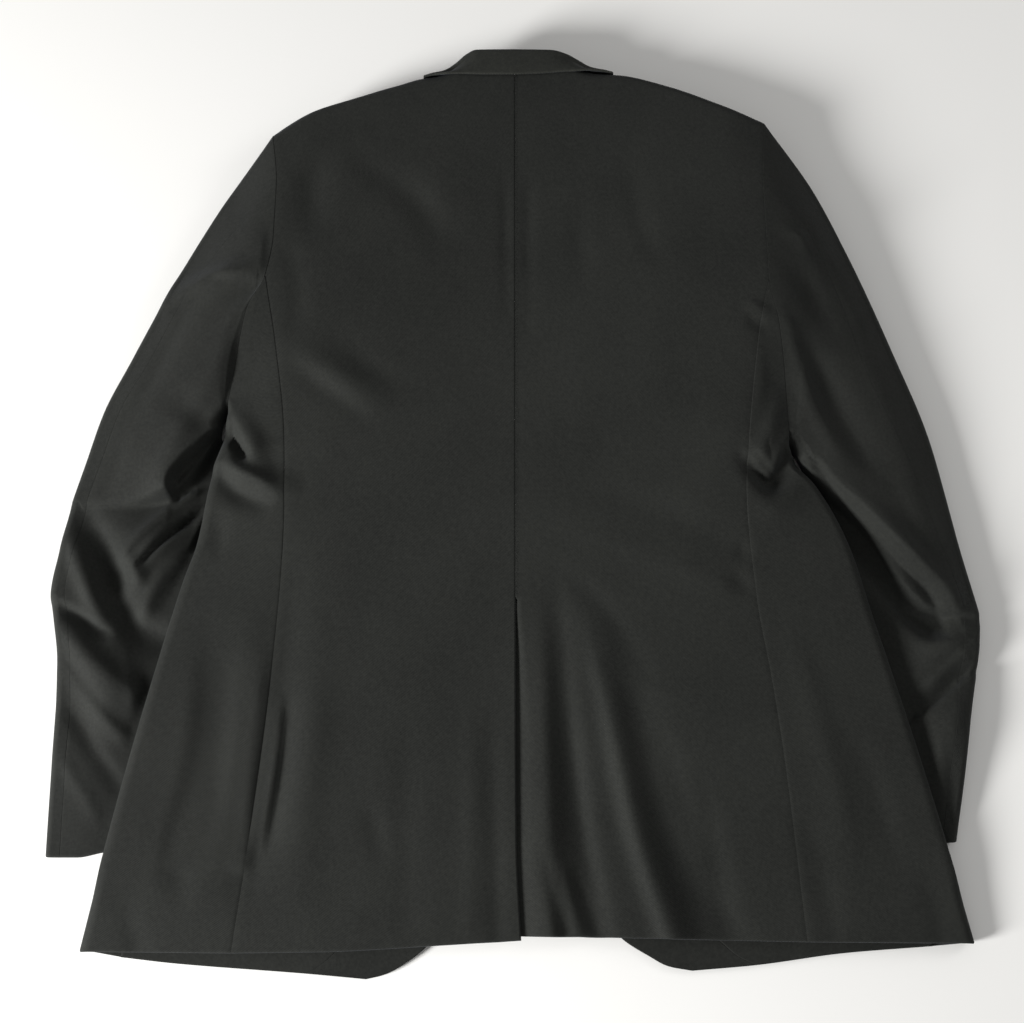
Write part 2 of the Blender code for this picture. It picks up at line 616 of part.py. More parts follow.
def front_panel(side, armhole, side_grid):
    """Outer points of a front, which faces the floor: rows from the hem up, columns from the side in."""
    low = armhole.below()
    start = RIM_STEPS - 1 + FRONT_SEAM_COLUMNS
    arm_up = low[start:start + FRONT_ARMHOLE_STEPS + 1]
    seam = side_grid[:HEM_TO_UNDERARM_ROWS + 1, -1]
    outer = np.concatenate([seam[:, :2], arm_up[1:, :2]])
    top_edge = shoulder_edge(side)[NECK_COLUMNS:][::-1]
    top = inside_of(top_edge[:, :2], SHOULDER_TURN)
    top[0] = arm_up[-1, :2]
    rise = lengths(outer)
    upward = rise / rise[-1]
    inner = along(FRONT_EDGE[side], upward * (1.0 - SHOULDER_TURN / lengths(FRONT_EDGE[side])[-1]))
    top[-1] = inner[-1]
    hem = FRONT_HEM[side]
    shares = np.linspace(0.0, 1.0, 400)
    to_facing = shares[np.argmin(np.abs(along(hem, shares)[:, 0] - FACING_SEAM_X[side]))]
    across = np.concatenate(
        [
            np.linspace(0.0, to_facing, FRONT_COLUMNS_TO_FACING + 1),
            np.linspace(to_facing, 1.0, FRONT_COLUMNS_IN_FACING + 1)[1:],
        ]
    )
    bottom = along(hem, across)
    plan = coons(bottom, top, outer, inner, across, upward)
    grid = with_height(plan, body_floor(side, plan[..., 0], plan[..., 1]))
    grid[:HEM_TO_UNDERARM_ROWS + 1, 0] = seam
    grid[HEM_TO_UNDERARM_ROWS:, 0] = arm_up
    rims = [quarter(top_edge, grid[-1], turn) for turn in reversed(rim_turns())]
    grid = np.concatenate([grid, np.array(rims), top_edge[None]])
    grid[-RIM_STEPS:-1, 0] = low[start + FRONT_ARMHOLE_STEPS + 1:]
    grid[-1, 0] = armhole.shoulder
    return grid


def shares_between(stations, first, middle, last):
    """How far a middle station lies between a first and a last one."""
    return (stations[middle] - stations[first]) / (stations[last] - stations[first])


def stations_between(stops, steps):
    """Stations through the stops, each stretch cut into its number of steps."""
    parts = [np.linspace(a, b, n + 1)[1:] for a, b, n in zip(stops[:-1], stops[1:], steps)]
    return np.concatenate([[stops[0]], *parts])


def sleeve_ring(side, w, row, seam, shares):
    """One ring of a sleeve in order: the outer edge, over the top, the inner edge, and back below."""
    points, tops = row[:8].reshape(4, 2), row[8:]
    knots = lengths(points)
    begin = min(SLEEVE_TURN, 0.5 * tops[0])
    end = knots[-1] - min(SLEEVE_TURN, 0.5 * tops[3])
    blade = seam + (end - seam) * shares[0]
    front = end - (end - begin) * shares[1]
    stations = stations_between(
        (begin, seam, blade, end), (CUFF_TO_SEAM_STEPS, SEAM_TO_BLADE_STEPS, BLADE_TO_UNDERARM_STEPS)
    )
    plan = through(knots, points, stations)
    top = through(knots, tops, stations)
    top = top + folds("sleeve", plan[:, 0], plan[:, 1]) * in_the_open(side, w, plan)
    upper = with_height(plan, top)
    stations = stations_between((end, front, begin), (FRONT_SEAM_COLUMNS, FRONT_ARMHOLE_STEPS))
    plan = through(knots, points, stations)
    lower = with_height(plan, np.zeros(len(plan)))
    outer_edge = np.append(points[0], 0.5 * upper[0, 2])
    inner_edge_point = np.append(points[3], 0.5 * upper[-1, 2])
    return [
        outer_edge,
        *(quarter(outer_edge, upper[0], turn) for turn in rim_turns()),
        *upper,
        *(quarter(inner_edge_point, upper[-1], turn) for turn in reversed(rim_turns())),
        inner_edge_point,
        *(quarter(inner_edge_point, lower[0], turn) for turn in rim_turns()),
        *lower,
        *(quarter(outer_edge, lower[-1], turn) for turn in reversed(rim_turns())),
    ]


def sleeve(side, armhole):
    """Outer points of a sleeve: rows from the armhole to the cuff, columns round from the outer edge."""
    first = along(BACK_ARMHOLE[side], (0.0, 1 / 3, 2 / 3, 1.0))
    table = [np.concatenate([first.ravel(), body_top(first[:, 0], first[:, 1])])]
    table = np.array(table + [np.asarray(ring, float) for ring in SLEEVE_RINGS[side]])
    rings = np.arange(len(table), dtype=float)
    at_seam = CUFF_TO_SEAM_STEPS
    shares = (
        shares_between(armhole.upper, at_seam, at_seam + SEAM_TO_BLADE_STEPS, -1),
        shares_between(armhole.lower, 0, FRONT_SEAM_COLUMNS, -1),
    )
    grid = np.array(
        [
            sleeve_ring(side, w, through(rings, table, w), float(through(rings, HINDARM[side], w)), shares)
            for w in RING_STOPS
        ]
    )
    to_loop = np.concatenate([armhole.above(), armhole.below()]) - grid[0]
    fade = 1.0 - smooth_step(np.array(RING_STOPS) / ARMHOLE_RINGS)
    return grid + fade[:, None, None] * to_loop


def in_the_open(side, w, plan):
    """1 where the sleeve lies in the open, 0 where the body lies over it."""
    if w < FOOT_RING:
        return np.ones(len(plan))
    past = np.abs(plan[:, 0]) - np.abs(edge_x(side, plan[:, 1]))
    return smooth_step((past - OPEN_FROM) / OPEN_OVER)


def vertex_normals(panels):
    """Normals of the welded outer surface, so that pieces which meet at a seam agree on them."""
    total = {}
    for panel in panels:
        grid = panel["grid"]
        for a, b, c in triangles(grid, panel["cells"], panel["flip"]):
            pa, pb, pc = grid[a], grid[b], grid[c]
            area = np.cross(pb - pa, pc - pa)
            for p in (pa, pb, pc):
                key = tuple(np.round(p, 3))
                total[key] = total.get(key, 0.0) + area
    for panel in panels:
        grid = panel["grid"]
        normals = np.zeros_like(grid)
        for i in range(grid.shape[0]):
            for j in range(grid.shape[1]):
                n = total.get(tuple(np.round(grid[i, j], 3)))
                if n is not None:
                    normals[i, j] = n / max(np.linalg.norm(n), 1e-12)
        panel["normals"] = normals


def triangles(grid, cells, flip):
    """Triangles of a grid's cells as index pairs, each cell cut along its shorter diagonal."""
    same_place = {}

    def first_of(key):
        return same_place.setdefault(tuple(np.round(grid[key], 4)), key)

    found = []
    for i in range(grid.shape[0] - 1):
        for j in range(grid.shape[1] - 1):
            if not cells[i, j]:
                continue
            a, b, c, d = (first_of(k) for k in ((i, j), (i, j + 1), (i + 1, j + 1), (i + 1, j)))
            if np.linalg.norm(grid[a] - grid[c]) <= np.linalg.norm(grid[b] - grid[d]):
                pair = [(a, b, c), (a, c, d)]
            else:
                pair = [(a, b, d), (b, c, d)]
            pair = [t for t in pair if len(set(t)) == 3]
            found += [(p, r, q) if flip else (p, q, r) for p, q, r in pair]
    return found


def pull_in(grid, cells, amount):
    """How far each point on a piece's edge moves in, so that a seam's gap opens."""
    shift = np.zeros_like(grid)
    near = np.pad(cells, 1)
    for i in range(grid.shape[0]):
        for j in range(grid.shape[1]):
            here = near[i:i + 2, j:j + 2]
            if here.all() or not here.any():
                continue
            ways = [
                way
                for way, bare, filled in (
                    ((0, -1), here[:, 1], here[:, 0]),
                    ((0, 1), here[:, 0], here[:, 1]),
                    ((-1, 0), here[1], here[0]),
                    ((1, 0), here[0], here[1]),
                )
                if filled.any() and not bare.any()
            ]
            if here.sum() == 3:
                bare_row, bare_column = np.argwhere(~here)[0]
                ways = [(1 - 2 * bare_row, 1 - 2 * bare_column)]
            for di, dj in ways:
                inward = grid[i + di, j + dj] - grid[i, j]
                size = np.linalg.norm(inward)
                if size > 1e-6:
                    shift[i, j] += inward / size * amount
    return shift


def closeness(grid):
    """1 at an underarm or shoulder point, where the folded walls crowd each other, 0 away from them."""
    points = [BACK_ARMHOLE[side][k] for side in SIDES for k in (0, -1)]
    far = np.min([np.hypot(grid[..., 0] - x, grid[..., 1] - y) for x, y in points], axis=0)
    return smooth_step(2.0 - far / CROWDED_REACH)


def cloth(panel):
    """One closed wall from a panel's outer points, moved in along their normals for the inner face."""
    grid, cells, flip = panel["grid"], panel["cells"], panel["flip"]
    tight = closeness(grid)[..., None]
    outer = grid + pull_in(grid, cells, 0.5 * SEAM_GAP) * (1.0 + tight)
    inner = outer - panel["normals"] * (panel.get("wall", WALL) - CROWDED_THINNING * tight)
    faces_out = triangles(grid, cells, flip)
    index, points = {}, []

    def place(layer, key):
        if (layer, key) not in index:
            index[layer, key] = len(points)
            points.append((outer if layer == 0 else inner)[key])
        return index[layer, key]

    faces, edges = [], {}
    for tri in faces_out:
        faces.append(tuple(place(0, k) for k in tri))
        faces.append(tuple(place(1, k) for k in reversed(tri)))
        for a, b in zip(tri, tri[1:] + tri[:1]):
            edges[a, b] = edges.get((a, b), 0) + 1
    for a, b in edges:
        if (b, a) not in edges:
            p, q, r, s = place(0, a), place(0, b), place(1, b), place(1, a)
            faces += [(q, p, s), (q, s, r)]
    return make_object(panel["name"], points, faces, panel.get("colour", CLOTH_COLOUR))


def make_material(name, colour, rough):
    material = bpy.data.materials.new(name)
    material.use_nodes = True
    shader = material.node_tree.nodes["Principled BSDF"]
    shader.inputs["Base Color"].default_value = colour
    shader.inputs["Roughness"].default_value = rough
    shader.inputs["Metallic"].default_value = 0.0
    return material


def make_object(name, points, faces, colour):
    mesh = bpy.data.meshes.new(name)
    mesh.from_pydata([tuple(p) for p in metres(points)], [], faces)
    mesh.materials.append(make_material(name + "_cloth", colour, 0.9))
    mesh.shade_smooth()
    mesh.set_sharp_from_angle(angle=math.radians(50))
    thing = bpy.data.objects.new(name, mesh)
    bpy.context.scene.collection.objects.link(thing)
    return thing


def panel(name, grid, side, cells=None, **more):
    if cells is None:
        cells = np.ones((grid.shape[0] - 1, grid.shape[1] - 1), bool)
    return {"name": name, "grid": grid, "cells": cells, "flip": side == "left", **more}


def body_and_sleeves():
    """The outer panels that share seams, as grids that meet point for point."""
    panels = []
    for side in SIDES:
        armhole = Armhole(side)
        back = back_panel(side, armhole)
        side_grid, side_cells = side_panel(side, armhole)
        front = front_panel(side, armhole, side_grid)
        if side == "right":
            back, cells = right_back_with_vent(back)
            panels.append(panel("back_right", back, side, cells))
        else:
            panels.append(panel("back_left", back, side))
        panels.append(panel("side_" + side, side_grid, side, side_cells))
        panels.append(panel("front_" + side, front, side))
        ring = sleeve(side, armhole)
        hindarm = RIM_STEPS + CUFF_TO_SEAM_STEPS
        forearm = len(armhole.above()) - 1 + RIM_STEPS + FRONT_SEAM_COLUMNS
        panels.append(panel("sleeve_under_" + side, ring[:, hindarm:forearm + 1], side))
        over = np.concatenate([ring[:, forearm:], ring[:, :hindarm + 1]], axis=1)
        panels.append(panel("sleeve_top_" + side, over, side))
    return panels


def turned_in(front):
    """The facing and the turned-up hem of a front's lower edge, made from the front's own points."""
    side = front["name"].removeprefix("front_")
    inner = front["grid"] - front["normals"] * (WALL + SEAM_GAP)
    rows = slice(0, FACING_ROWS + 1)
    split = FRONT_COLUMNS_TO_FACING
    pieces = []
    for name, columns in (("hem_", slice(0, split + 1)), ("facing_", slice(split, None))):
        grid = inner[rows, columns].copy()
        normals = front["normals"][rows, columns]
        pieces.append(panel(name + side, grid, side, wall=TURNED_WALL, normals=normals))
    return pieces


def flat_piece(name, pairs, side):
    """A folded-back piece that lies on the floor: rows of roll line point and free edge point."""
    sign = -SIGN[side]
    pairs = np.asarray(pairs, float)
    share = np.linspace(0.0, 1.0, FLAT_STEPS + 1)[None, :, None]
    plan = pairs[:, :1] * (1 - share) + pairs[:, 1:] * share
    plan[..., 0] *= sign
    grid = with_height(plan, np.zeros(plan.shape[:2]))
    down = np.zeros_like(grid)
    down[..., 2] = -1.0
    return panel(name + side, grid, "right" if side == "left" else "left", normals=down)


def collar():
    """The leaf from its free edge over the roll, and the stand from below the roll to the neck seam."""
    table = np.asarray(COLLAR_LEAF, float)
    edge, roll, roll_z = table[:, :2], table[:, 2:4], table[:, 4]
    lean = roll - edge
    depth = np.linalg.norm(lean, axis=1)[:, None]
    lean /= depth
    start = roll - lean * np.minimum(LEAF_TURN, 0.5 * depth)
    below = roll - lean * np.minimum(LEAF_TURN, 0.25 * depth + 1.5)
    edge_z = body_top(edge[:, 0], edge[:, 1], with_folds=False) + LEAF_LIFT
    rows = []
    for k in range(LEAF_ROWS + 1):
        share = k / LEAF_ROWS
        height = edge_z + (roll_z + ROLL_HALF - edge_z) * share**LEAF_BEND
        rows.append(with_height(edge + (start - edge) * share, height))
    lip = with_height(roll, roll_z)
    under = with_height(below, roll_z - ROLL_HALF)
    rows += [quarter(lip, rows[-1], turn) for turn in reversed(rim_turns())]
    rows.append(lip)
    rows += [quarter(lip, under, turn) for turn in rim_turns()]
    rows.append(under)
    leaf = np.array(rows)[:, ::-1]
    middle = slice(2, -2)
    start = under[middle]
    end = start.copy()
    end[:, 1] = np.minimum(STAND_END_Y, start[:, 1] - STAND_LEAST)
    end[:, 2] = start[:, 2] + STAND_RISE
    shares = np.linspace(0.0, 1.0, STAND_ROWS + 1)[:, None, None]
    stand = (start + (end - start) * shares)[:, ::-1]
    return [panel("collar_leaf", leaf, "left"), panel("collar_stand", stand, "left")]


def button(name, centre):
    """A flat button, its rim eased."""
    bm = bmesh.new()
    bmesh.ops.create_cone(
        bm,
        cap_ends=True,
        segments=BUTTON_SIDES,
        radius1=BUTTON_RADIUS / 1000,
        radius2=BUTTON_RADIUS / 1000,
        depth=BUTTON_HEIGHT / 1000,
    )
    rim = [e for e in bm.edges if abs(e.verts[0].co.z - e.verts[1].co.z) < 1e-6]
    bmesh.ops.bevel(bm, geom=rim, offset=BUTTON_EDGE / 1000, segments=1, affect="EDGES")
    bmesh.ops.translate(bm, verts=bm.verts, vec=(*metres(centre), 0.5 * BUTTON_HEIGHT / 1000))
    mesh = bpy.data.meshes.new(name)
    bm.to_mesh(mesh)
    bm.free()
    mesh.materials.append(make_material(name + "_horn", BUTTON_COLOUR, 0.35))
    mesh.shade_smooth()
    mesh.set_sharp_from_angle(angle=math.radians(30))
    thing = bpy.data.objects.new(name, mesh)
    bpy.context.scene.collection.objects.link(thing)


def clear_scene():
    for thing in list(bpy.data.objects):
        bpy.data.objects.remove(thing, do_unlink=True)


def main():
    clear_scene()
    panels = body_and_sleeves()
    vertex_normals(panels)
    for piece in panels:
        cloth(piece)
    for piece in panels:
        if piece["name"].startswith("front_"):
            for extra in turned_in(piece):
                cloth(extra)
    for side in SIDES:
        cloth(flat_piece("lapel_", LAPEL, side))
        cloth(flat_piece("collar_front_", COLLAR_END, side))
    collar_pieces = collar()
    vertex_normals(collar_pieces)
    for piece in collar_pieces:
        cloth(piece)
    for name, centre in BUTTON_AT.items():
        button(name, centre)


main()
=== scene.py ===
"""A dark wool suit jacket laid flat on its front, with its back up.

The jacket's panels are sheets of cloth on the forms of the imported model's panels, cut finer and with the
creases, seams and turned edges that the coarse panels leave out. Lengths are in millimetres until `metres`
turns them into the scene's metres. +X is to the right, +Y runs from the hem to the collar and +Z is up.
"""

import math

import bpy
import numpy as np
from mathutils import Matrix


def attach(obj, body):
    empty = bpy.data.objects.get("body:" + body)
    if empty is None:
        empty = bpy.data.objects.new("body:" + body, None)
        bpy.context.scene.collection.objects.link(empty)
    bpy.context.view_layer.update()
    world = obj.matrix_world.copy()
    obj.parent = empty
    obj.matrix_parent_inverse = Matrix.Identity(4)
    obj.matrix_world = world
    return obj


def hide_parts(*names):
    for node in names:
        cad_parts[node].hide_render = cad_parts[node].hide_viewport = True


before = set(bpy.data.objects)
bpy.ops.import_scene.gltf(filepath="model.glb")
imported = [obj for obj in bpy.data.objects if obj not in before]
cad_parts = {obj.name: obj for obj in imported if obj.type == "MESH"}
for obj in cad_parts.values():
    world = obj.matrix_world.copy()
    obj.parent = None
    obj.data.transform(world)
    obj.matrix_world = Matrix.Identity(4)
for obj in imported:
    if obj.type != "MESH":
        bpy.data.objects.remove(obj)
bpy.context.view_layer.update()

# Cloth and seams
WALL = 1.8
TURNED_WALL = 1.5
SEAM_GAP = 0.3
LAP_GAP = 0.8
CROWDED_THINNING = 0.7
CROWDED_REACH = 9.0
SEAM_DIP = 0.34
SLEEVE_SEAM_DIP = 0.1
SEAM_PULL = 0.02
SEAM_LOOPS = (0.25, 0.6)
SEAM_DIP_SHARES = (1.0, 0.38, 0.08)
TURNED_EDGE_DIP = 0.35
TURNED_EDGE_BULGE = 0.45
# A dip takes up to this share of the wall, and edges sharper than this angle stay crisp
DEEPEST_DIP = 0.45
SHARP_EDGE = 70.0

# How finely the cloth is cut up: steps between the named lines
RIM_STEPS = 6
HEM_TO_UNDERARM_ROWS = 136
FACING_ROWS = 16
NECK_COLUMNS = 26
SHOULDER_COLUMNS = 44
SIDE_COLUMNS = 28
BLADE_TO_UNDERARM_STEPS = 40
FRONT_SEAM_COLUMNS = 8
FRONT_ARMHOLE_STEPS = 40
FRONT_COLUMNS_TO_FACING = 26
FRONT_COLUMNS_IN_FACING = 18
CUFF_TO_SEAM_STEPS = 18
SEAM_TO_BLADE_STEPS = 24
RING_SPACING = 2.6
LEAST_RING_STEPS = 8
LEAF_COLUMNS = 70
LEAF_ROWS = 10
STAND_ROWS = 6
FLAT_ROWS = 24
FLAT_STEPS = 8
FOLD_SAMPLES = 24

# Rounded edges: how far a layer turns before it meets the other one
SHOULDER_TURN = 10.0
SIDE_TURN = 8.0
POINT_SHORT = 1.2
SLEEVE_TURN = 8.0
SHOULDER_MID = 14.0
NECK_HALF = 50.0
SHOULDER_FROM = 84.0

SIDES = ("left", "right")
SIGN = {"left": -1, "right": 1}

# Centre back seam and vent: the left panel's edge laps over the right panel's underlay
CENTRE_X = 1.0
VENT_TOP = -104.0
VENT_EDGE = ((-364.0, 5.0), (-290.0, 1.6), (-140.0, 1.0), (400.0, 1.0))
UNDERLAY_WIDTH = 38.0
VENT_DROP = WALL + LAP_GAP
VENT_LIP = 1.6
VENT_STEP = (3.0, 13.0)
VENT_STEP_OVER = 120.0
VENT_FALL_OVER = 40.0
VENT_LEAST_FALL = 0.3
UNDERLAY_SHARES = (1.0, 0.5, 0.01)

# Plan of the seams and edges, each from the hem upwards or from the shoulder point to the underarm
SIDE_SEAM = {
    "left": ((-212, -373), (-201, -276), (-191, -169), (-185, -47), (-187, 29), (-197, 109), (-208, 168)),
    "right": ((220, -365), (209, -231), (202, -169), (193, -105), (188, -22), (191, 21), (203, 118),
              (213, 165)),
}
SIDE_FOLD = {
    "left": ((-327, -372), (-304, -256), (-289, -188), (-265, -89), (-256, -59), (-247, 0), (-240, 26),
             (-236, 54)),
    "right": ((347, -366), (320, -250), (297, -160), (285, -115), (274, -71), (264, -43), (246, -9),
              (233, 8), (226, 24)),
}
FRONT_SEAM = {
    "left": ((-296, -376), (-276, -256), (-258, -188), (-228, -59), (-217, 0), (-212, 60)),
    "right": ((316, -368), (291, -250), (262, -140), (240, -60), (217, -10), (205, 36)),
}
BACK_ARMHOLE = {
    "left": ((-210, 310), (-203, 250), (-203, 205), (-208, 168), (-222, 138), (-231, 85), (-236, 54)),
    "right": ((219, 323), (213, 245), (213, 192), (213, 165), (220, 127), (224, 82), (226, 24)),
}
FRONT_ARMHOLE = {
    "left": ((-210, 310), (-190, 250), (-176, 180), (-184, 110), (-212, 60), (-236, 54)),
    "right": ((219, 323), (199, 250), (184, 180), (188, 95), (205, 36), (226, 24)),
}
NECK_AND_SHOULDER = {
    "left": ((1, 374), (-35, 371), (-56, 367), (-76, 367), (-105, 359), (-140, 347), (-175, 334),
             (-200, 318), (-210, 310)),
    "right": ((1, 374), (40, 372), (62, 370.5), (83, 371), (93, 370.5), (137, 359), (181, 341), (219, 323)),
}
BACK_HEM = {
    "left": ((5, -364), (-64, -368), (-140, -372), (-212, -373)),
    "right": ((6, -361), (80, -362), (170, -364), (220, -365)),
}
FRONT_HEM = {
    "left": ((-296, -376), (-255, -380.5), (-156, -388), (-111, -392)),
    "right": ((316, -368), (250, -373), (181, -382), (134, -386)),
}
FRONT_EDGE = {
    "left": ((-111, -392), (-98, -389), (-78, -378), (-65, -367), (-38, -320), (-12, -240), (12, -150),
             (20, -90), (20, 70), (-8, 150), (-42, 270), (-60, 345), (-78, 368)),
    "right": ((134, -386), (117, -383), (103, -376), (80, -361), (52, -318), (20, -235), (-8, -150),
              (-20, -90), (-20, 70), (8, 150), (44, 270), (64, 345), (84, 372)),
}
FACING_SEAM_X = {"left": -157.0, "right": 182.0}

# The outer surface of the upper layer above the floor, by sections from hem to neck. The blade line is a
# share of the half width, and runs down the side-back seam.
#   y, blade share, at the centre, at the blade line, at the edge
BODY_SECTIONS = (
    (-376, 0.66, 11, 12, 11),
    (-330, 0.66, 12, 14, 15),
    (-270, 0.65, 14, 17, 18),
    (-200, 0.66, 17, 20, 20),
    (-130, 0.68, 20, 22, 21),
    (-60, 0.72, 24, 25, 22),
    (0, 0.75, 28, 29, 23),
    (60, 0.81, 31, 35, 28),
    (160, 0.84, 33, 41, 41),
    (250, 0.84, 34, 39, 38),
    (320, 0.84, 34, 34, 31),
    (376, 0.84, 32, 30, 27),
)

# The lower layer rests on the floor, and rises over what lies below it
TUCK_RISE = 10.2
TUCK_WIDTH = 26.0
TUCK_MARGIN = 16.0
TUCK_FROM = 4.0
TUCK_TOP_FADE = 18.0
TUCK_BELOW = 42.0
TUCK_BOTTOM_FADE = 32.0
LAPEL_RISE = 2.6
BUTTON_RISE = 4.0
LAPEL_ZONE = (112.0, 45.0)
LAPEL_ZONE_FROM_Y = 40.0
OVERLAP_HALF = 32.0
OVERLAP_FADE = 46.0
OVERLAP_Y = (-205.0, 128.0)

# Guide rings of the sleeves after the armhole ring, from the armhole to the cuff. Each runs in plan from the
# outer edge by two points to the inner edge, with the top surface's height at each. The cloth drops from
# ring 6 to ring 7, where the upper sleeve folds over the forearm.
#   outer x, y, second x, y, third x, y, inner x, y, four heights
SLEEVE_RINGS = {
    "left": (
        (-248, 255, -232, 182, -232, 118, -238, 52.5, 18, 37, 37, 28),
        (-299, 155, -268, 122, -248, 90, -239.2, 50, 16, 32, 36, 28),
        (-323, 101, -288, 88, -262, 66, -240.2, 47, 15, 28, 34, 28),
        (-342, 57, -303, 54, -270, 44, -241.2, 43.5, 14, 25, 31, 27),
        (-354, 12, -314, 12, -276, 16, -242.2, 39.5, 13, 21, 28, 26),
        (-363, -22, -319, -20, -281, -12, -243.2, 35.5, 12, 16, 25, 24),
        (-364, -28, -319, -28, -276, -22, -240, 28, 12, 13, 9, 8),
        (-369, -62, -312, -58, -257, -52, -226, -5, 13, 18, 9, 8),
        (-373, -95, -318, -92, -267, -88, -216, -70, 14, 15, 9, 8),
        (-363, -152, -320, -150, -281, -146, -212, -140, 12, 14, 9, 8),
        (-359, -303, -336, -303, -313, -299, -222, -297, 10, 10, 9, 8),
    ),
    "right": (
        (255, 272, 242, 205, 238, 120, 228.2, 23, 18, 37, 36, 26),
        (288, 198, 268, 150, 250, 92, 230, 20.4, 16, 32, 34, 26),
        (320, 110, 292, 86, 262, 56, 232, 17.4, 14, 28, 31, 26),
        (345, 32, 310, 24, 272, 16, 234, 14, 13, 26, 29, 25),
        (362, -60, 324, -52, 280, -18, 236.2, 10.2, 12, 24, 27, 24),
        (373, -114, 335, -108, 283, -40, 238.6, 6.2, 12, 19, 24, 22),
        (373, -121, 333, -116, 278, -46, 238, -3, 11, 10, 9, 8),
        (370, -146, 334, -142, 290, -122, 222, -50, 13, 15, 9, 8),
        (359, -196, 332, -190, 306, -184, 209, -130, 13, 15, 9, 8),
        (350, -245, 334, -242, 319, -240, 203, -215, 11, 12, 9, 8),
        (340, -292, 335, -292, 330, -293, 207, -300, 10, 10, 9, 8),
    ),
}
FOOT_RING = 7
ARMHOLE_RINGS = 2.0
OPEN_FROM = 1.0
OPEN_OVER = 12.0
# The hindarm seam's distance from the outer edge, ring by ring
HINDARM = {
    "left": (66, 42, 20, 18, 16, 15, 14, 14, 14, 13, 12.5, 12),
    "right": (66, 50, 42, 36, 28, 18, 14, 14, 14, 13, 12.5, 12),
}

# Folds that carry the form. Each is a soft ridge or, below zero, a trough.
#   layer, width on its left side, width on its right side, then points of x, y and height
FOLDS = (
    ("back", 9, 11, ((22, -95, 0), (24, -180, 2.5), (26, -300, 3.5), (28, -370, 4))),
    ("back", 8, 14, ((32, -66, 0), (40, -170, -3), (50, -270, -5), (68, -366, -3))),
    ("back", 16, 8, ((55, -110, 0), (74, -190, 5), (92, -280, 7), (118, -364, 6))),
    ("back", 14, 22, ((80, -140, 0), (110, -230, -3), (150, -330, -3), (170, -370, -2))),
    ("back", 14, 14, ((-190, 110, 0), (-140, 78, 3), (-100, 50, 0))),
    ("back", 16, 20, ((-176, -60, 0), (-182, -160, -3), (-196, -280, -4), (-206, -350, 0))),
    ("back", 14, 14, ((-168, 200, 0), (-172, 250, -3), (-165, 290, 0))),
    ("back", 10, 12, ((-232, 50, 2), (-212, 18, 5), (-205, -10, 0))),
    ("back", 9, 9, ((-238, 30, 0), (-222, -2, 5), (-190, -12, 3), (-170, -14, 0))),
    ("back", 20, 16, ((-235, -110, 0), (-240, -200, -3), (-256, -280, -3), (-262, -330, 0))),
    ("back", 9, 9, ((222, 70, 0), (205, 24, 5), (190, 0, 0))),
    ("back", 8, 10, ((205, 16, 0), (212, -8, -5), (226, 6, -3), (228, 16, 0))),
    ("sleeve", 14, 12, ((-206, 178, 2), (-245, 168, 6), (-292, 156, 3))),
    ("sleeve", 12, 14, ((-246, 28, 0), (-262, 50, -3), (-292, 70, 0))),
    ("sleeve", 9, 12, ((-252, 8, 0), (-290, -50, 5), (-322, -88, 0))),
    ("sleeve", 12, 10, ((-262, -40, 0), (-296, -78, 5), (-320, -112, 2), (-330, -140, 0))),
    ("sleeve", 14, 14, ((-366, -48, 0), (-340, -52, -3), (-322, -76, -4), (-306, -120, -3),
                        (-296, -160, 0))),
    ("sleeve", 14, 10, ((-370, -108, 2), (-346, -140, 4), (-322, -178, 4), (-300, -206, 0))),
    ("sleeve", 10, 14, ((-352, -160, 0), (-338, -196, -3), (-316, -226, 0))),
    ("sleeve", 12, 12, ((226, 196, 0), (252, 150, -4), (276, 96, 0))),
    ("sleeve", 14, 12, ((232, 150, 0), (256, 80, -5), (290, 16, -3), (320, -20, 0))),
    ("sleeve", 10, 12, ((372, -120, 2), (350, -136, 5), (320, -146, 0))),
    ("sleeve", 9, 10, ((360, -170, 0), (342, -205, 4), (334, -250, 0))),
)

# Lapels and the collar's front ends lie flat on the floor, below the fronts: pairs of points from the roll
# line out to the free edge, from the bottom up, for the left half
LAPEL = (
    ((-1.5, 104), (-3, 102)), ((-4, 120), (-36, 134)), ((-18, 172), (-78, 192)), ((-36, 240), (-110, 236)),
    ((-48, 285), (-86, 258)),
)
COLLAR_END = (
    ((-49, 288), (-87, 261)), ((-54, 310), (-97, 284)), ((-58, 332), (-93, 318)), ((-60, 350), (-84, 346)),
)

# Collar leaf over the back of the neck, from the wearer's left to the right
#   edge x, y, roll x, y, roll height
COLLAR_LEAF = (
    (-79, 365.2, -80, 367.6, 19.5),
    (-71, 365.4, -72, 371.6, 21),
    (-59, 365, -61.5, 374.6, 23),
    (-47, 364.8, -51, 381, 25),
    (-36, 364.4, -42, 388.4, 27),
    (-26, 364, -32, 392, 28.5),
    (0, 364, 0, 392, 29),
    (23, 365, 32, 391.8, 28.5),
    (41, 366.6, 46.5, 388.8, 27),
    (55, 367.6, 57, 383.8, 25),
    (66, 368.8, 68.5, 377.8, 23),
    (78, 369.4, 80.5, 374.6, 21),
    (87, 369, 88.5, 371.4, 19),
)
LEAF_LIFT = WALL + 1.2
LEAF_TURN = 6.0
LEAF_BEND = 1.7
LEAF_END_COLUMNS = 14
LEAF_END_LIFT = -1.4
LEAF_END_RISE = 0.35
ROLL_HALF = 4.4
STAND_END_Y = 375.5
STAND_LEAST = 4.0
STAND_RISE = 3.5


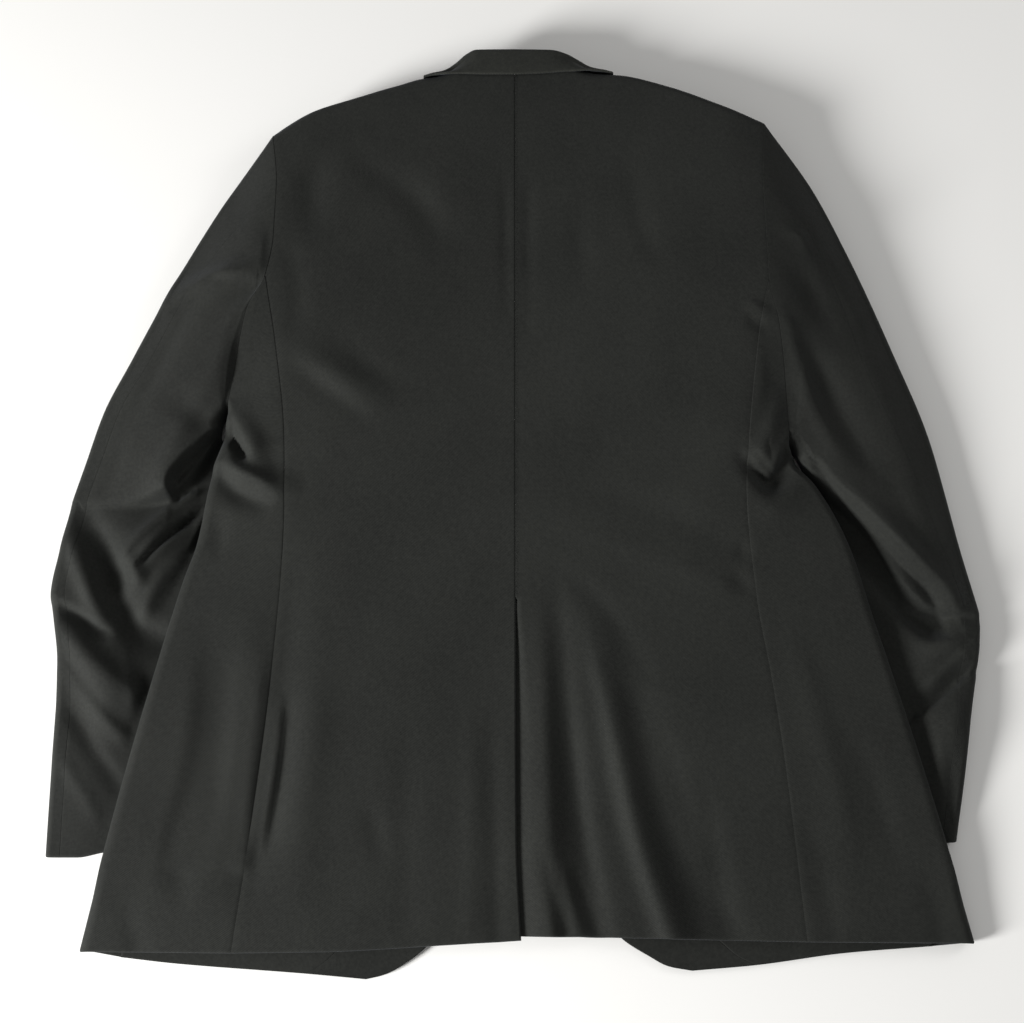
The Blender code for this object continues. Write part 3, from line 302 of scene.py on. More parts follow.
# Creases of the cloth, finer than the folds above and named in the same way
#   layer, width on its left side, width on its right side, then points of x, y and height
CREASES = (
    ("back", 5, 5, ((-7, 277, 0), (-7, 229, -1), (-6, 159, -0.6), (-5, 123, 0))),
    ("back", 14, 14, ((-146, 293, 0), (-111, 262, -1.6), (-63, 220, -1.2), (-37, 185, 0))),
    ("back", 12, 14, ((-100, 277, 0), (-76, 229, -1.2), (-54, 164, 0))),
    ("back", 9, 9, ((-197, 205, 0), (-184, 177, -1.1), (-179, 136, -0.9), (-184, 109, 0))),
    ("back", 7, 9, ((-188, 93, 0), (-161, 74, -1.3), (-132, 53, -1), (-106, 36, 0))),
    ("back", 9, 9, ((-184, 104, 0), (-155, 85, 0.7), (-120, 58, 0))),
    ("back", 10, 12, ((-153, 123, 0), (-117, 89, -1), (-77, 68, 0))),
    ("back", 5, 7, ((-198, -138, 0), (-199, -185, 1.6), (-204, -261, 2), (-207, -320, 0))),
    ("back", 14, 14, ((-154, -145, 0), (-156, -223, 1.6), (-162, -306, 1), (-162, -356, 0))),
    ("back", 8, 10, ((-117, -254, 0), (-105, -284, -1.2), (-98, -320, 0))),
    ("back", 12, 12, ((-83, -185, 0), (-84, -261, -1), (-79, -356, -0.6))),
    ("back", 8, 8, ((-34, -177, 0), (-32, -261, 0.9), (-33, -356, 0.6))),
    ("back", 7, 7, ((-17, -185, 0), (-15, -261, -1), (-12, -360, -1.2))),
    ("back", 10, 12, ((-223, -137, 0), (-225, -185, -1.6), (-230, -254, -2.2), (-239, -313, 0))),
    ("back", 9, 9, ((-251, -137, 0), (-252, -200, 1.2), (-264, -276, 1.4), (-274, -335, 0))),
    ("back", 8, 10, ((-263, -261, 0), (-254, -306, -1), (-249, -357, 0))),
    ("back", 9, 9, ((-298, -320, 0), (-287, -357, -1), (-283, -371, -1.2))),
    ("back", 7, 9, ((-243, -29, 0), (-237, -50, -1.6), (-237, -74, 0))),
    ("back", 6, 6, ((13, 272, 0), (12, 229, -1.2), (12, 159, -0.8), (10, 104, 0))),
    ("back", 9, 9, ((60, 262, 0), (56, 205, -0.9), (61, 150, 0))),
    ("back", 10, 10, ((99, 299, 0), (107, 223, -1.2), (125, 172, 0))),
    ("back", 14, 14, ((25, -5, 0), (86, -22, -1.2), (149, -47, -1.4), (182, -67, -0.6), (185, -70, 0))),
    ("back", 10, 12, ((34, -40, 0), (101, -64, 0.9), (161, -91, 0.9), (181, -103, 0))),
    ("back", 8, 10, ((30, -73, 0), (68, -106, -1.2), (99, -154, -0.6), (114, -185, 0))),
    ("back", 4, 5, ((23, -291, 0), (27, -320, -1.6), (36, -353, -1.4), (39, -361, -1.4))),
    ("back", 4, 4, ((35, -298, 0), (41, -328, 1.4), (49, -357, 1.2))),
    ("back", 4, 5, ((45, -306, 0), (52, -331, -1.2), (63, -358, -1.2))),
    ("back", 9, 12, ((99, -184, 0), (116, -246, 1.6), (141, -306, 1.4), (169, -349, 0))),
    ("back", 8, 8, ((144, -231, 0), (153, -291, -1), (161, -357, -0.6))),
    ("back", 7, 8, ((177, -61, 0), (184, -66, -1.6), (191, -70, 0))),
    ("back", 6, 8, ((173, -81, 0), (182, -91, -1.4), (191, -96, 0))),
    ("back", 10, 12, ((219, -121, 0), (233, -185, 1.4), (250, -261, 1.6), (261, -335, 0))),
    ("back", 8, 10, ((219, -261, 0), (233, -313, -1.4), (241, -357, -1))),
    ("back", 8, 10, ((262, -200, 0), (280, -261, -1.2), (294, -328, 0))),
    ("back", 8, 8, ((312, -306, 0), (319, -342, -1), (322, -364, -1))),
    ("back", 4, 5, ((191, 145, 0), (202, 139, 2), (215, 132, 0.6))),
    ("back", 4, 5, ((192, 132, 0), (201, 126, -2), (213, 119, 0))),
    ("back", 6, 7, ((202, 113, 0), (203, 77, 1.2), (194, 34, 0))),
    ("back", 8, 10, ((190, -25, 0), (207, -30, 1.8), (227, -18, 0.8), (236, -13, 0))),
    ("sleeve", 14, 3, ((-227, 166, -1), (-248, 166, -3), (-266, 157, -3), (-281, 148, -1.5),
        (-291, 142, 0))),
    ("sleeve", 3.5, 14, ((-220, 157, 0), (-228, 127, 2.5), (-236, 87, 3), (-238, 62, 1))),
    ("sleeve", 4, 12, ((-211, 214, 0), (-215, 193, 2), (-218, 174, 1))),
    ("sleeve", 8, 8, ((-264, 151, 0), (-281, 124, -1.4), (-294, 95, -1.6), (-308, 65, -1.2),
        (-322, 35, 0))),
    ("sleeve", 7, 9, ((-220, 137, 0), (-227, 108, -1.6), (-232, 77, 0))),
    ("sleeve", 8, 9, ((-242, 96, 0), (-254, 68, 1.2), (-271, 35, 1.6), (-287, 9, 1), (-297, -8, 0))),
    ("sleeve", 7, 8, ((-317, 37, 0), (-327, 2, -1.4), (-338, -23, 0))),
    ("sleeve", 5, 7, ((-357, -155, 0.6), (-338, -179, 2.4), (-317, -201, 3), (-299, -216, 1.6),
        (-292, -224, 0))),
    ("sleeve", 6, 8, ((-359, -179, 0), (-341, -201, -2.2), (-322, -229, -2.6), (-304, -253, -1),
        (-299, -265, 0))),
    ("sleeve", 6, 6, ((-359, -215, 0), (-342, -242, 1.4), (-324, -268, 1), (-316, -283, 0))),
    ("sleeve", 6, 6, ((-315, -136, 0), (-305, -158, 1.6), (-295, -184, 0.8), (-291, -196, 0))),
    ("sleeve", 5, 6, ((222, 211, 0), (241, 207, 1.8), (247, 192, 0.6), (248, 183, 0))),
    ("sleeve", 8, 8, ((241, 236, 0), (255, 198, -1.6), (270, 156, -1.8), (284, 120, -1.2), (291, 98, 0))),
    ("sleeve", 6, 7, ((223, 149, 0), (232, 107, 1.6), (244, 58, 1.6), (263, 15, 0.8), (271, -6, 0))),
    ("sleeve", 8, 10, ((238, 122, 0), (256, 64, -1.6), (280, 19, -1.8), (298, -14, 0))),
    ("sleeve", 8, 9, ((298, 2, 0), (319, -40, -1.4), (335, -78, -1.4), (344, -106, 0))),
    ("sleeve", 7, 8, ((339, -6, 0), (350, -46, 1.2), (356, -89, 1.2), (360, -114, 0))),
    ("sleeve", 5, 6, ((350, -184, 0), (350, -222, 1.6), (345, -261, 1.2), (340, -283, 0))),
    ("sleeve", 5, 5, ((337, -199, 0), (338, -238, -1.4), (336, -276, -1))),
)
# Sharp folds at the underarms, the elbows and the left side-back seam, named in the same way
SHARP_CREASES = (
    ("sleeve", 11, 2.5, ((-228, 56, -4), (-248, 30, -8), (-264, 10, -9), (-275, -5, -9), (-276, -15, -6),
        (-272, -22, 0))),
    ("sleeve", 2.5, 15, ((-235, 50, 1), (-254, 30, 4), (-272, 11, 6), (-282, -8, 6), (-281, -24, 1))),
    ("sleeve", 3, 7, ((-244, -3, 0), (-260, -14, 2.5), (-286, -36, 3), (-310, -63, 3), (-320, -78, 0))),
    ("sleeve", 3.5, 1.5, ((-251, -19, -3), (-261, -30, -7), (-279, -48, -7.5), (-294, -66, -6),
        (-304, -80, 0))),
    ("sleeve", 4, 1.8, ((-251, -35, -6), (-256, -49, -12), (-261, -60, -3))),
    ("sleeve", 7, 7, ((-257, -64, 1), (-272, -72, 3.5), (-286, -91, 4.5), (-294, -109, 4.5),
        (-299, -126, 0))),
    ("sleeve", 9, 7, ((-364, -37, 1), (-355, -64, 4), (-341, -95, 5.5), (-329, -118, 3), (-324, -126, 0))),
    ("sleeve", 9, 12, ((-349, -32, -3), (-333, -58, -5), (-321, -83, -6), (-315, -106, -6.5),
        (-301, -124, -6.5), (-276, -137, -4))),
    ("sleeve", 6, 6, ((-319, -58, 0), (-310, -71, 2.5), (-302, -84, 4), (-296, -97, 0))),
    ("sleeve", 3.5, 9, ((-365, -107, -3), (-349, -115, -5.5), (-332, -126, -5), (-318, -134, 0))),
    ("sleeve", 9, 12, ((-359, -131, 1), (-337, -149, 4), (-312, -169, 5), (-288, -190, 4),
        (-278, -204, 1))),
    ("back", 2, 6, ((-234, 43, -5), (-228, 29, -9), (-220, 16, -8), (-216, 9, 0))),
    ("back", 22, 2.5, ((-234, 60, 1), (-224, 37, 3), (-214, 18, 3), (-210, 9, 0))),
    ("back", 6, 4, ((-239, 9, 2), (-221, -2, 4.5), (-203, -11, 4), (-185, -23, 0))),
    ("back", 4, 10, ((-238, -1, -3), (-223, -15, -5), (-206, -24, -3), (-193, -30, 0))),
    ("sleeve", 2.5, 18, ((246, 10, -3), (265, -20, -8), (292, -52, -10), (315, -78, -11), (333, -96, -10),
        (342, -118, -8), (345, -137, 0))),
    ("sleeve", 8, 9, ((259, -16, 0), (278, -43, -5), (296, -75, -8), (311, -103, -9), (329, -124, -6),
        (342, -137, 0))),
    ("sleeve", 10, 3, ((252, 2, 1), (274, -19, 3), (301, -48, 4), (326, -75, 4.5), (345, -96, 4.5),
        (354, -118, 3), (359, -134, 0))),
    ("sleeve", 4, 14, ((319, -179, 0), (334, -166, 4), (351, -152, 4), (367, -139, 2))),
    ("sleeve", 14, 2.5, ((320, -193, -5), (340, -177, -9), (354, -165, -7), (364, -156, -3))),
    ("back", 2.5, 8, ((190, 10, -3), (199, 0, -6), (207, -6, -7), (217, 4, -6), (223, 14, -3))),
    ("back", 10, 3, ((195, 20, 1), (204, 11, 4), (210, 6, 5), (217, 17, 5), (224, 29, 3))),
    ("back", 3, 8, ((-182, -176, 0), (-182, -203, 2.6), (-185, -242, 3.2), (-190, -279, 2.6),
        (-193, -304, 0))),
    ("back", 9, 6, ((-177, -179, 0), (-178, -203, -1.4), (-180, -242, -1.7), (-186, -279, -1.4),
        (-188, -302, 0))),
)
# A fold ends at this many widths. The folded cloth keeps a least height over what lies below it.
FOLD_REACH = 3.0
SLEEVE_LEAST = 4.0
SLEEVE_SOFTNESS = 1.0
BODY_LEAST_ROOM = 0.8
BODY_SOFTNESS = 0.3
cut_lines = {}

# Buttons
BUTTON_RADIUS = 10.0
BUTTON_HEIGHT = 3.2
BUTTON_SIDES = 48
BUTTON_ROUNDING = 0.8
BUTTON_ROUNDING_STEPS = 3
BUTTON_SHARP_EDGE = 35.0
BUTTON_AT = {"button_upper": (1.0, 62.0), "button_lower": (1.0, -48.0)}

# Finishes, as sRGB
# Worsted: the dark and the light yarn. The collar's leaf gets the same yarns painted lighter: painted light,
# for the stronger light that falls on the leaf.
WOOL_DARK = "#191a18"
WOOL_LIGHT = "#2b2c29"
COLLAR_DARK_PAINTED_LIT = "#1e1f1d"
COLLAR_LIGHT_PAINTED_LIT = "#33342f"
HORN_DARK = "#141211"
HORN_LIGHT = "#2c2621"
FLOOR = "#f2f1ee"

# Weave sizes in millimetres. A wave texture's bands lie 0.314 apart at a scale of 1.
WAVE_LENGTH = 0.314
TWILL_ANGLE = 63.0
TWILL_PITCH = 1.1
YARN_GRAIN = 1.5
MELANGE = 2.6
NAP_PATCH = 90.0
HANDLE_WAVE = 16.0
HORN_STREAK = 1000.0 / 260.0

# Camera and lights, in metres
AIM = (-0.0015, -0.026, 0.0)
CAMERA_DISTANCE = 1.15
CAMERA_TILT = 16.0
PIXELS_PER_METRE = 1212.0
PICTURE_WIDTH = 1024.0
SENSOR = 36.0
# Lights: azimuth and elevation in degrees, distance and size in metres, watts, sRGB
KEY_LIGHT = (208.0, 21.0, 2.3, 0.7, 102.0, "#ffffff")
RIM_LIGHT = (20.0, 30.0, 2.3, 0.9, 8.0, "#ffffff")
AIR_LIGHT = 0.33
FLOOR_SIZE = 8.0
FLOOR_BELOW = 0.0004


def metres(points):
    return np.asarray(points, float) / 1000.0


def smooth_step(t):
    t = np.clip(t, 0.0, 1.0)
    return t * t * (3.0 - 2.0 * t)


def slopes(knots, values):
    """Slopes of a curve through the values that doesn't overshoot them."""
    step = np.diff(knots)
    rise = np.diff(values, axis=0) / step[:, None]
    out = np.zeros_like(values)
    out[0], out[-1] = rise[0], rise[-1]
    for k in range(1, len(knots) - 1):
        a, b = rise[k - 1], rise[k]
        same = a * b > 0
        safe = np.where(same, a + b, 1.0)
        out[k] = np.where(same, 2 * a * b / safe, 0.0)
    return out


def through(knots, values, at):
    """Reads the smooth curve through rows of values at one place or many."""
    knots = np.asarray(knots, float)
    values = np.asarray(values, float)
    flat = values.ndim == 1
    if flat:
        values = values[:, None]
    m = slopes(knots, values)
    at = np.clip(np.asarray(at, float), knots[0], knots[-1])
    k = np.clip(np.searchsorted(knots, at, side="right") - 1, 0, len(knots) - 2)
    h = (knots[k + 1] - knots[k])[..., None]
    t = (at - knots[k])[..., None] / h
    out = hermite(t, h, values[k], values[k + 1], m[k], m[k + 1])
    return out[..., 0] if flat else out


def lengths(points):
    """How far along a line each of its points lies."""
    points = np.asarray(points, float)
    return np.concatenate([[0.0], np.cumsum(np.linalg.norm(np.diff(points, axis=0), axis=1))])


def along(line, share):
    """Points of a seam line at shares of its length."""
    reach = lengths(line)
    return through(reach, line, np.asarray(share, float) * reach[-1])


def share_of_y(line, y):
    """The share of a seam line's length at which it passes a height."""
    shares = np.linspace(0.0, 1.0, 400)
    return float(shares[np.argmin(np.abs(along(line, shares)[:, 1] - y))])


def quarter(edge, top, turn):
    """A point on the quarter round from an edge's mid height to a layer's surface, at a turn in radians."""
    edge, top = np.asarray(edge, float), np.asarray(top, float)
    point = edge + (top - edge) * (1.0 - math.cos(turn))
    point[..., 2] = edge[..., 2] + (top[..., 2] - edge[..., 2]) * math.sin(turn)
    return point


def rim_turns():
    """The turns of the points between a rounded edge and the flat, both left out."""
    return [0.5 * math.pi * k / RIM_STEPS for k in range(1, RIM_STEPS)]


def fold_lines(layer, table):
    """A table's rows for one layer, as widths and finely cut lines."""
    key = layer, id(table)
    if key not in cut_lines:
        cut_lines[key] = [
            (left, right, along_with_height(points)) for name, left, right, points in table if name == layer
        ]
    return cut_lines[key]


def fold_height(lines, x, y):
    """Height that soft ridges and troughs add up to at places in plan."""
    shape = np.shape(x)
    x, y = np.ravel(x), np.ravel(y)
    total = np.zeros(x.shape)
    for left, right, line in lines:
        low, high = line[:, :2].min(axis=0), line[:, :2].max(axis=0)
        reach = FOLD_REACH * max(left, right)
        near = (x > low[0] - reach) & (x < high[0] + reach) & (y > low[1] - reach) & (y < high[1] + reach)
        if not near.any():
            continue
        px, py = x[near][:, None], y[near][:, None]
        start, run = line[:-1], np.diff(line, axis=0)
        t = (px - start[:, 0]) * run[:, 0] + (py - start[:, 1]) * run[:, 1]
        t /= run[:, 0] ** 2 + run[:, 1] ** 2
        t = np.clip(t, 0.0, 1.0)
        dx, dy = px - start[:, 0] - t * run[:, 0], py - start[:, 1] - t * run[:, 1]
        far = np.hypot(dx, dy)
        width = np.where(run[:, 0] * dy - run[:, 1] * dx > 0, left, right)
        lift = (start[:, 2] + t * run[:, 2]) * np.exp(-((far / width) ** 2))
        nearest = np.argmin(far, axis=1)
        total[near] += np.take_along_axis(lift, nearest[:, None], axis=1)[:, 0]
    return total.reshape(shape)


def folds(layer, x, y):
    """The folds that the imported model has, with the soft creases and the sharp ones on them."""
    tables = (FOLDS, CREASES, SHARP_CREASES)
    return sum(fold_height(fold_lines(layer, table), x, y) for table in tables)


def along_with_height(points):
    """A fold's line cut finely, each point with its height."""
    reach = lengths(np.asarray(points, float)[:, :2])
    return through(reach, points, np.linspace(0.0, reach[-1], FOLD_SAMPLES))


def edge_x(side, y):
    """Where the body's half ends in plan: the side fold, and above it the armhole seam."""
    line = np.asarray(SIDE_FOLD[side] + tuple(reversed(BACK_ARMHOLE[side]))[1:], float)
    return through(line[:, 1], line[:, 0], y)


def body_top(x, y, with_folds=True):
    """Height of the upper layer's outer surface over the body."""
    x, y = np.asarray(x, float), np.asarray(y, float)
    sections = np.asarray(BODY_SECTIONS, float)
    blade, centre, at_blade, at_edge = np.moveaxis(through(sections[:, 0], sections[:, 1:], y), -1, 0)
    reach = np.where(x < CENTRE_X, CENTRE_X - edge_x("left", y), edge_x("right", y) - CENTRE_X)
    t = np.clip(np.abs(x - CENTRE_X) / reach, 0.0, 1.0)
    first, last = (at_blade - centre) / blade, (at_edge - at_blade) / (1.0 - blade)
    same = first * last > 0
    middle = np.where(same, 2 * first * last / np.where(same, first + last, 1.0), 0.0)
    inner = hermite(t / blade, blade, centre, at_blade, 0.0, middle)
    outer = hermite((t - blade) / (1.0 - blade), 1.0 - blade, at_blade, at_edge, middle, last)
    z = np.where(t < blade, inner, outer)
    if not with_folds:
        return z
    lower = np.where(x < CENTRE_X, body_floor("left", x, y), body_floor("right", x, y)) + 2 * WALL + LAP_GAP
    lower = np.minimum(lower, z - BODY_LEAST_ROOM)
    room = z + folds("back", x, y) - lower
    return lower + BODY_SOFTNESS * np.logaddexp(0.0, room / BODY_SOFTNESS)


def hermite(t, width, a, b, slope_a, slope_b):
    """A cubic from a to b over a width, with a slope at each end."""
    t = np.clip(t, 0.0, 1.0)
    return (
        (2 * t**3 - 3 * t**2 + 1) * a
        + (t**3 - 2 * t**2 + t) * width * slope_a
        + (3 * t**2 - 2 * t**3) * b
        + (t**3 - t**2) * width * slope_b
    )


def body_floor(side, x, y):
    """Height of the lower layer's outer surface, which faces the floor."""
    x, y = np.asarray(x, float), np.asarray(y, float)
    inner = inner_edge(side)
    order = np.argsort(inner[:, 1])
    sleeve_x = np.abs(through(inner[order, 1], inner[order, 0], y))
    top, bottom = SIDE_FOLD[side][-1][1], inner[:, 1].min()
    over = smooth_step((np.abs(x) - (sleeve_x - TUCK_MARGIN - TUCK_WIDTH)) / TUCK_WIDTH)
    over = over * smooth_step((top - TUCK_FROM - y) / TUCK_TOP_FADE)
    over = over * smooth_step((y - bottom + TUCK_BELOW) / TUCK_BOTTOM_FADE)
    reach, fade = LAPEL_ZONE
    lapel = smooth_step((reach + fade - np.abs(x)) / fade)
    lapel = lapel * smooth_step((y - LAPEL_ZONE_FROM_Y + fade) / fade)
    low, high = OVERLAP_Y
    middle = smooth_step((OVERLAP_HALF + OVERLAP_FADE - np.abs(x)) / OVERLAP_FADE)
    middle = middle * smooth_step((y - low + OVERLAP_FADE) / OVERLAP_FADE)
    middle = middle * smooth_step((high + OVERLAP_FADE - y) / OVERLAP_FADE)
    if side == "right":
        lap = WALL + 2 * SEAM_GAP
        inside = smooth_step((OVERLAP_HALF + OVERLAP_FADE - x) / OVERLAP_FADE)
        level = np.maximum(LAPEL_RISE * lapel, (BUTTON_RISE + lap) * middle)
        level = np.maximum(level, (LAPEL_RISE + lap) * lapel * inside)
    else:
        level = np.maximum(LAPEL_RISE * lapel, BUTTON_RISE * middle)
    return np.maximum(level, TUCK_RISE * over)


def inner_edge(side):
    """The forearm's inner edge in plan, under the body."""
    return np.asarray([ring[6:8] for ring in SLEEVE_RINGS[side][FOOT_RING - 1:]], float)


def coons(bottom, top, inner, outer, across, upward):
    """Plan of a panel from its four edges: rows of bottom to top, columns of inner to outer."""
    u = np.asarray(across, float)[None, :, None]
    v = np.asarray(upward, float)[:, None, None]
    bottom, top, inner, outer = (np.asarray(e, float) for e in (bottom, top, inner, outer))
    corners = (
        (1 - u) * (1 - v) * bottom[0]
        + u * (1 - v) * bottom[-1]
        + (1 - u) * v * top[0]
        + u * v * top[-1]
    )
    return (1 - v) * bottom[None] + v * top[None] + (1 - u) * inner[:, None] + u * outer[:, None] - corners


def with_height(plan, height):
    plan = np.asarray(plan, float)
    return np.concatenate([plan, np.asarray(height, float)[..., None]], axis=-1)


class Armhole:
    """The armhole loop of one side, from the shoulder point over the back to the underarm and back below."""

    def __init__(self, side):
        self.side = side
        upper, lower = BACK_ARMHOLE[side], FRONT_ARMHOLE[side]
        self.upper_length, self.lower_length = lengths(upper)[-1], lengths(lower)[-1]
        blade = share_of_y(upper, SIDE_SEAM[side][-1][1]) * self.upper_length
        front = share_of_y(lower, FRONT_SEAM[side][-1][1]) * self.lower_length
        seam = HINDARM[side][0]
        stops = (SHOULDER_TURN, seam, blade, self.upper_length - SIDE_TURN)
        steps = (CUFF_TO_SEAM_STEPS, SEAM_TO_BLADE_STEPS, BLADE_TO_UNDERARM_STEPS)
        self.upper = stations_between(stops, steps) / self.upper_length
        stops = (self.lower_length - SIDE_TURN, front, SHOULDER_TURN)
        self.lower = stations_between(stops, (FRONT_SEAM_COLUMNS, FRONT_ARMHOLE_STEPS)) / self.lower_length
        self.shoulder = np.append(upper[0], SHOULDER_MID)
        top = body_top(*along(upper, self.upper[-1]))
        low = body_floor(side, *along(lower, self.lower[0]))
        self.under = np.append(upper[-1], 0.5 * (top + low))

    def above(self):
        """The back's stretch: the shoulder point, its rim, the stations, the underarm's rim and point."""
        plan = along(BACK_ARMHOLE[self.side], self.upper)
        points = with_height(plan, body_top(plan[:, 0], plan[:, 1]))
        first = [quarter(self.shoulder, points[0], turn) for turn in rim_turns()]
        last = [quarter(self.under, points[-1], turn) for turn in reversed(rim_turns())]
        return np.array([self.shoulder, *first, *points, *last, self.under])

    def below(self):
        """The front's stretch, from the underarm back to the shoulder point, both left out."""
        plan = along(FRONT_ARMHOLE[self.side], self.lower)
        points = with_height(plan, body_floor(self.side, plan[:, 0], plan[:, 1]))
        first = [quarter(self.under, points[0], turn) for turn in rim_turns()]
        last = [quarter(self.shoulder, points[-1], turn) for turn in reversed(rim_turns())]
        return np.array([*first, *points, *last])


def vent_edge(y):
    line = np.asarray(VENT_EDGE)
    return through(line[:, 0], line[:, 1], y)


def top_stations(side):
    """Shares of the neck and shoulder line at the back panel's columns."""
    line = NECK_AND_SHOULDER[side]
    reach = lengths(line)
    neck = reach[3] / reach[-1]
    return np.concatenate(
        [np.linspace(0.0, neck, NECK_COLUMNS + 1), np.linspace(neck, 1.0, SHOULDER_COLUMNS + 1)[1:]]
    )


def shoulder_edge(side):
    """The back's top edge: level at the neck, falling to mid height along the shoulder."""
    plan = along(NECK_AND_SHOULDER[side], top_stations(side))
    level = body_top(plan[:, 0], plan[:, 1])
    at_shoulder = smooth_step((np.abs(plan[:, 0]) - NECK_HALF) / (SHOULDER_FROM - NECK_HALF))
    return with_height(plan, level + at_shoulder * (SHOULDER_MID - level))


def inside_of(line_points, distance):
    """Plan points moved down from the shoulder line, square to it."""
    run = np.gradient(np.asarray(line_points, float), axis=0)
    square = np.stack([run[:, 1], -run[:, 0]], axis=1)
    square *= np.where(square[:, 1:] > 0, -1.0, 1.0)
    return line_points + distance * square / np.linalg.norm(square, axis=1)[:, None]


def side_seam_rows(side, armhole):
    """Plan of the side-back seam's rows, from the hem to the armhole."""
    line = SIDE_SEAM[side]
    blade = RIM_STEPS + CUFF_TO_SEAM_STEPS + SEAM_TO_BLADE_STEPS
    stations = armhole.above()[blade:blade + BLADE_TO_UNDERARM_STEPS + 1, :2][::-1]
    level = share_of_y(line, stations[0, 1])
    below = along(line, np.linspace(0.0, level, HEM_TO_UNDERARM_ROWS + 1))
    above = [along(line, share_of_y(line, y)) for y in stations[1:-1, 1]]
    return np.array([*below, *above, stations[-1]])


def back_panel(side, armhole):
    """Outer points of a back panel, its rows from the hem up and its columns from the centre out."""
    top_edge = shoulder_edge(side)
    top = inside_of(top_edge[:, :2], SHOULDER_TURN)
    arm = armhole.above()
    count = CUFF_TO_SEAM_STEPS + SEAM_TO_BLADE_STEPS
    arm_up = arm[RIM_STEPS:RIM_STEPS + count + 1][::-1]
    top[-1] = arm_up[-1, :2]
    seam = side_seam_rows(side, armhole)
    outer = np.concatenate([seam, arm_up[1:, :2]])
    upward = lengths(outer) / lengths(outer)[-1]
    hem_y = BACK_HEM[side][0][1]
    centre_y = hem_y + (top[0, 1] - hem_y) * upward
    inner = np.stack([vent_edge(centre_y), centre_y], axis=1)
    top[0, 0] = inner[-1, 0]
    across = np.abs(top[:, 0] - top[0, 0]) / abs(top[-1, 0] - top[0, 0])
    bottom = along(BACK_HEM[side], across)
    bottom[0] = inner[0]
    plan = coons(bottom, top, inner, outer, across, upward)
    surface = with_height(plan, body_top(plan[..., 0], plan[..., 1]))
    surface[len(seam) - 1:, -1] = arm_up
    rims = [quarter(top_edge, surface[-1], turn) for turn in reversed(rim_turns())]
    grid = np.concatenate([surface, np.array(rims), top_edge[None]])
    for k in range(RIM_STEPS + 1):
        grid[-1 - k, -1] = arm[k]
        grid[-1 - k, 0, 0] = CENTRE_X
    return grid


def right_back_with_vent(grid):
    """Adds the vent's underlay to the right back: it steps down and runs on below the left panel."""
    rows, columns = grid.shape[:2]
    under = len(UNDERLAY_SHARES)
    y = grid[:, 0, 1]
    edge = vent_edge(y)
    near, far = VENT_STEP
    step = near + (far - near) * smooth_step((VENT_TOP - y) / VENT_STEP_OVER)
    fall = VENT_LEAST_FALL + (1.0 - VENT_LEAST_FALL) * smooth_step((VENT_TOP - y) / VENT_FALL_OVER)
    wide = np.zeros((rows, columns + under, 3))
    wide[:, under:] = grid
    wide[:, :under] = grid[:, :1]
    for i in np.flatnonzero(y < VENT_TOP):
        x = np.concatenate([edge[i] - UNDERLAY_WIDTH * np.array(UNDERLAY_SHARES), grid[i, :, 0]])
        x[under] = edge[i] + VENT_LIP
        level = np.full(x.shape, y[i])
        level[under:] = grid[i, :, 1]
        drop = VENT_DROP * (1.0 - smooth_step((x - edge[i] - VENT_LIP) / (step[i] - VENT_LIP)))
        drop[under:] *= fall[i]
        plan = np.stack([x, level], axis=1)
        wide[i] = with_height(plan, body_top(x, level) - drop)
    cells = np.ones((rows - 1, columns + under - 1), bool)
    cells[y[1:] >= VENT_TOP, :under] = False
    return wide, cells


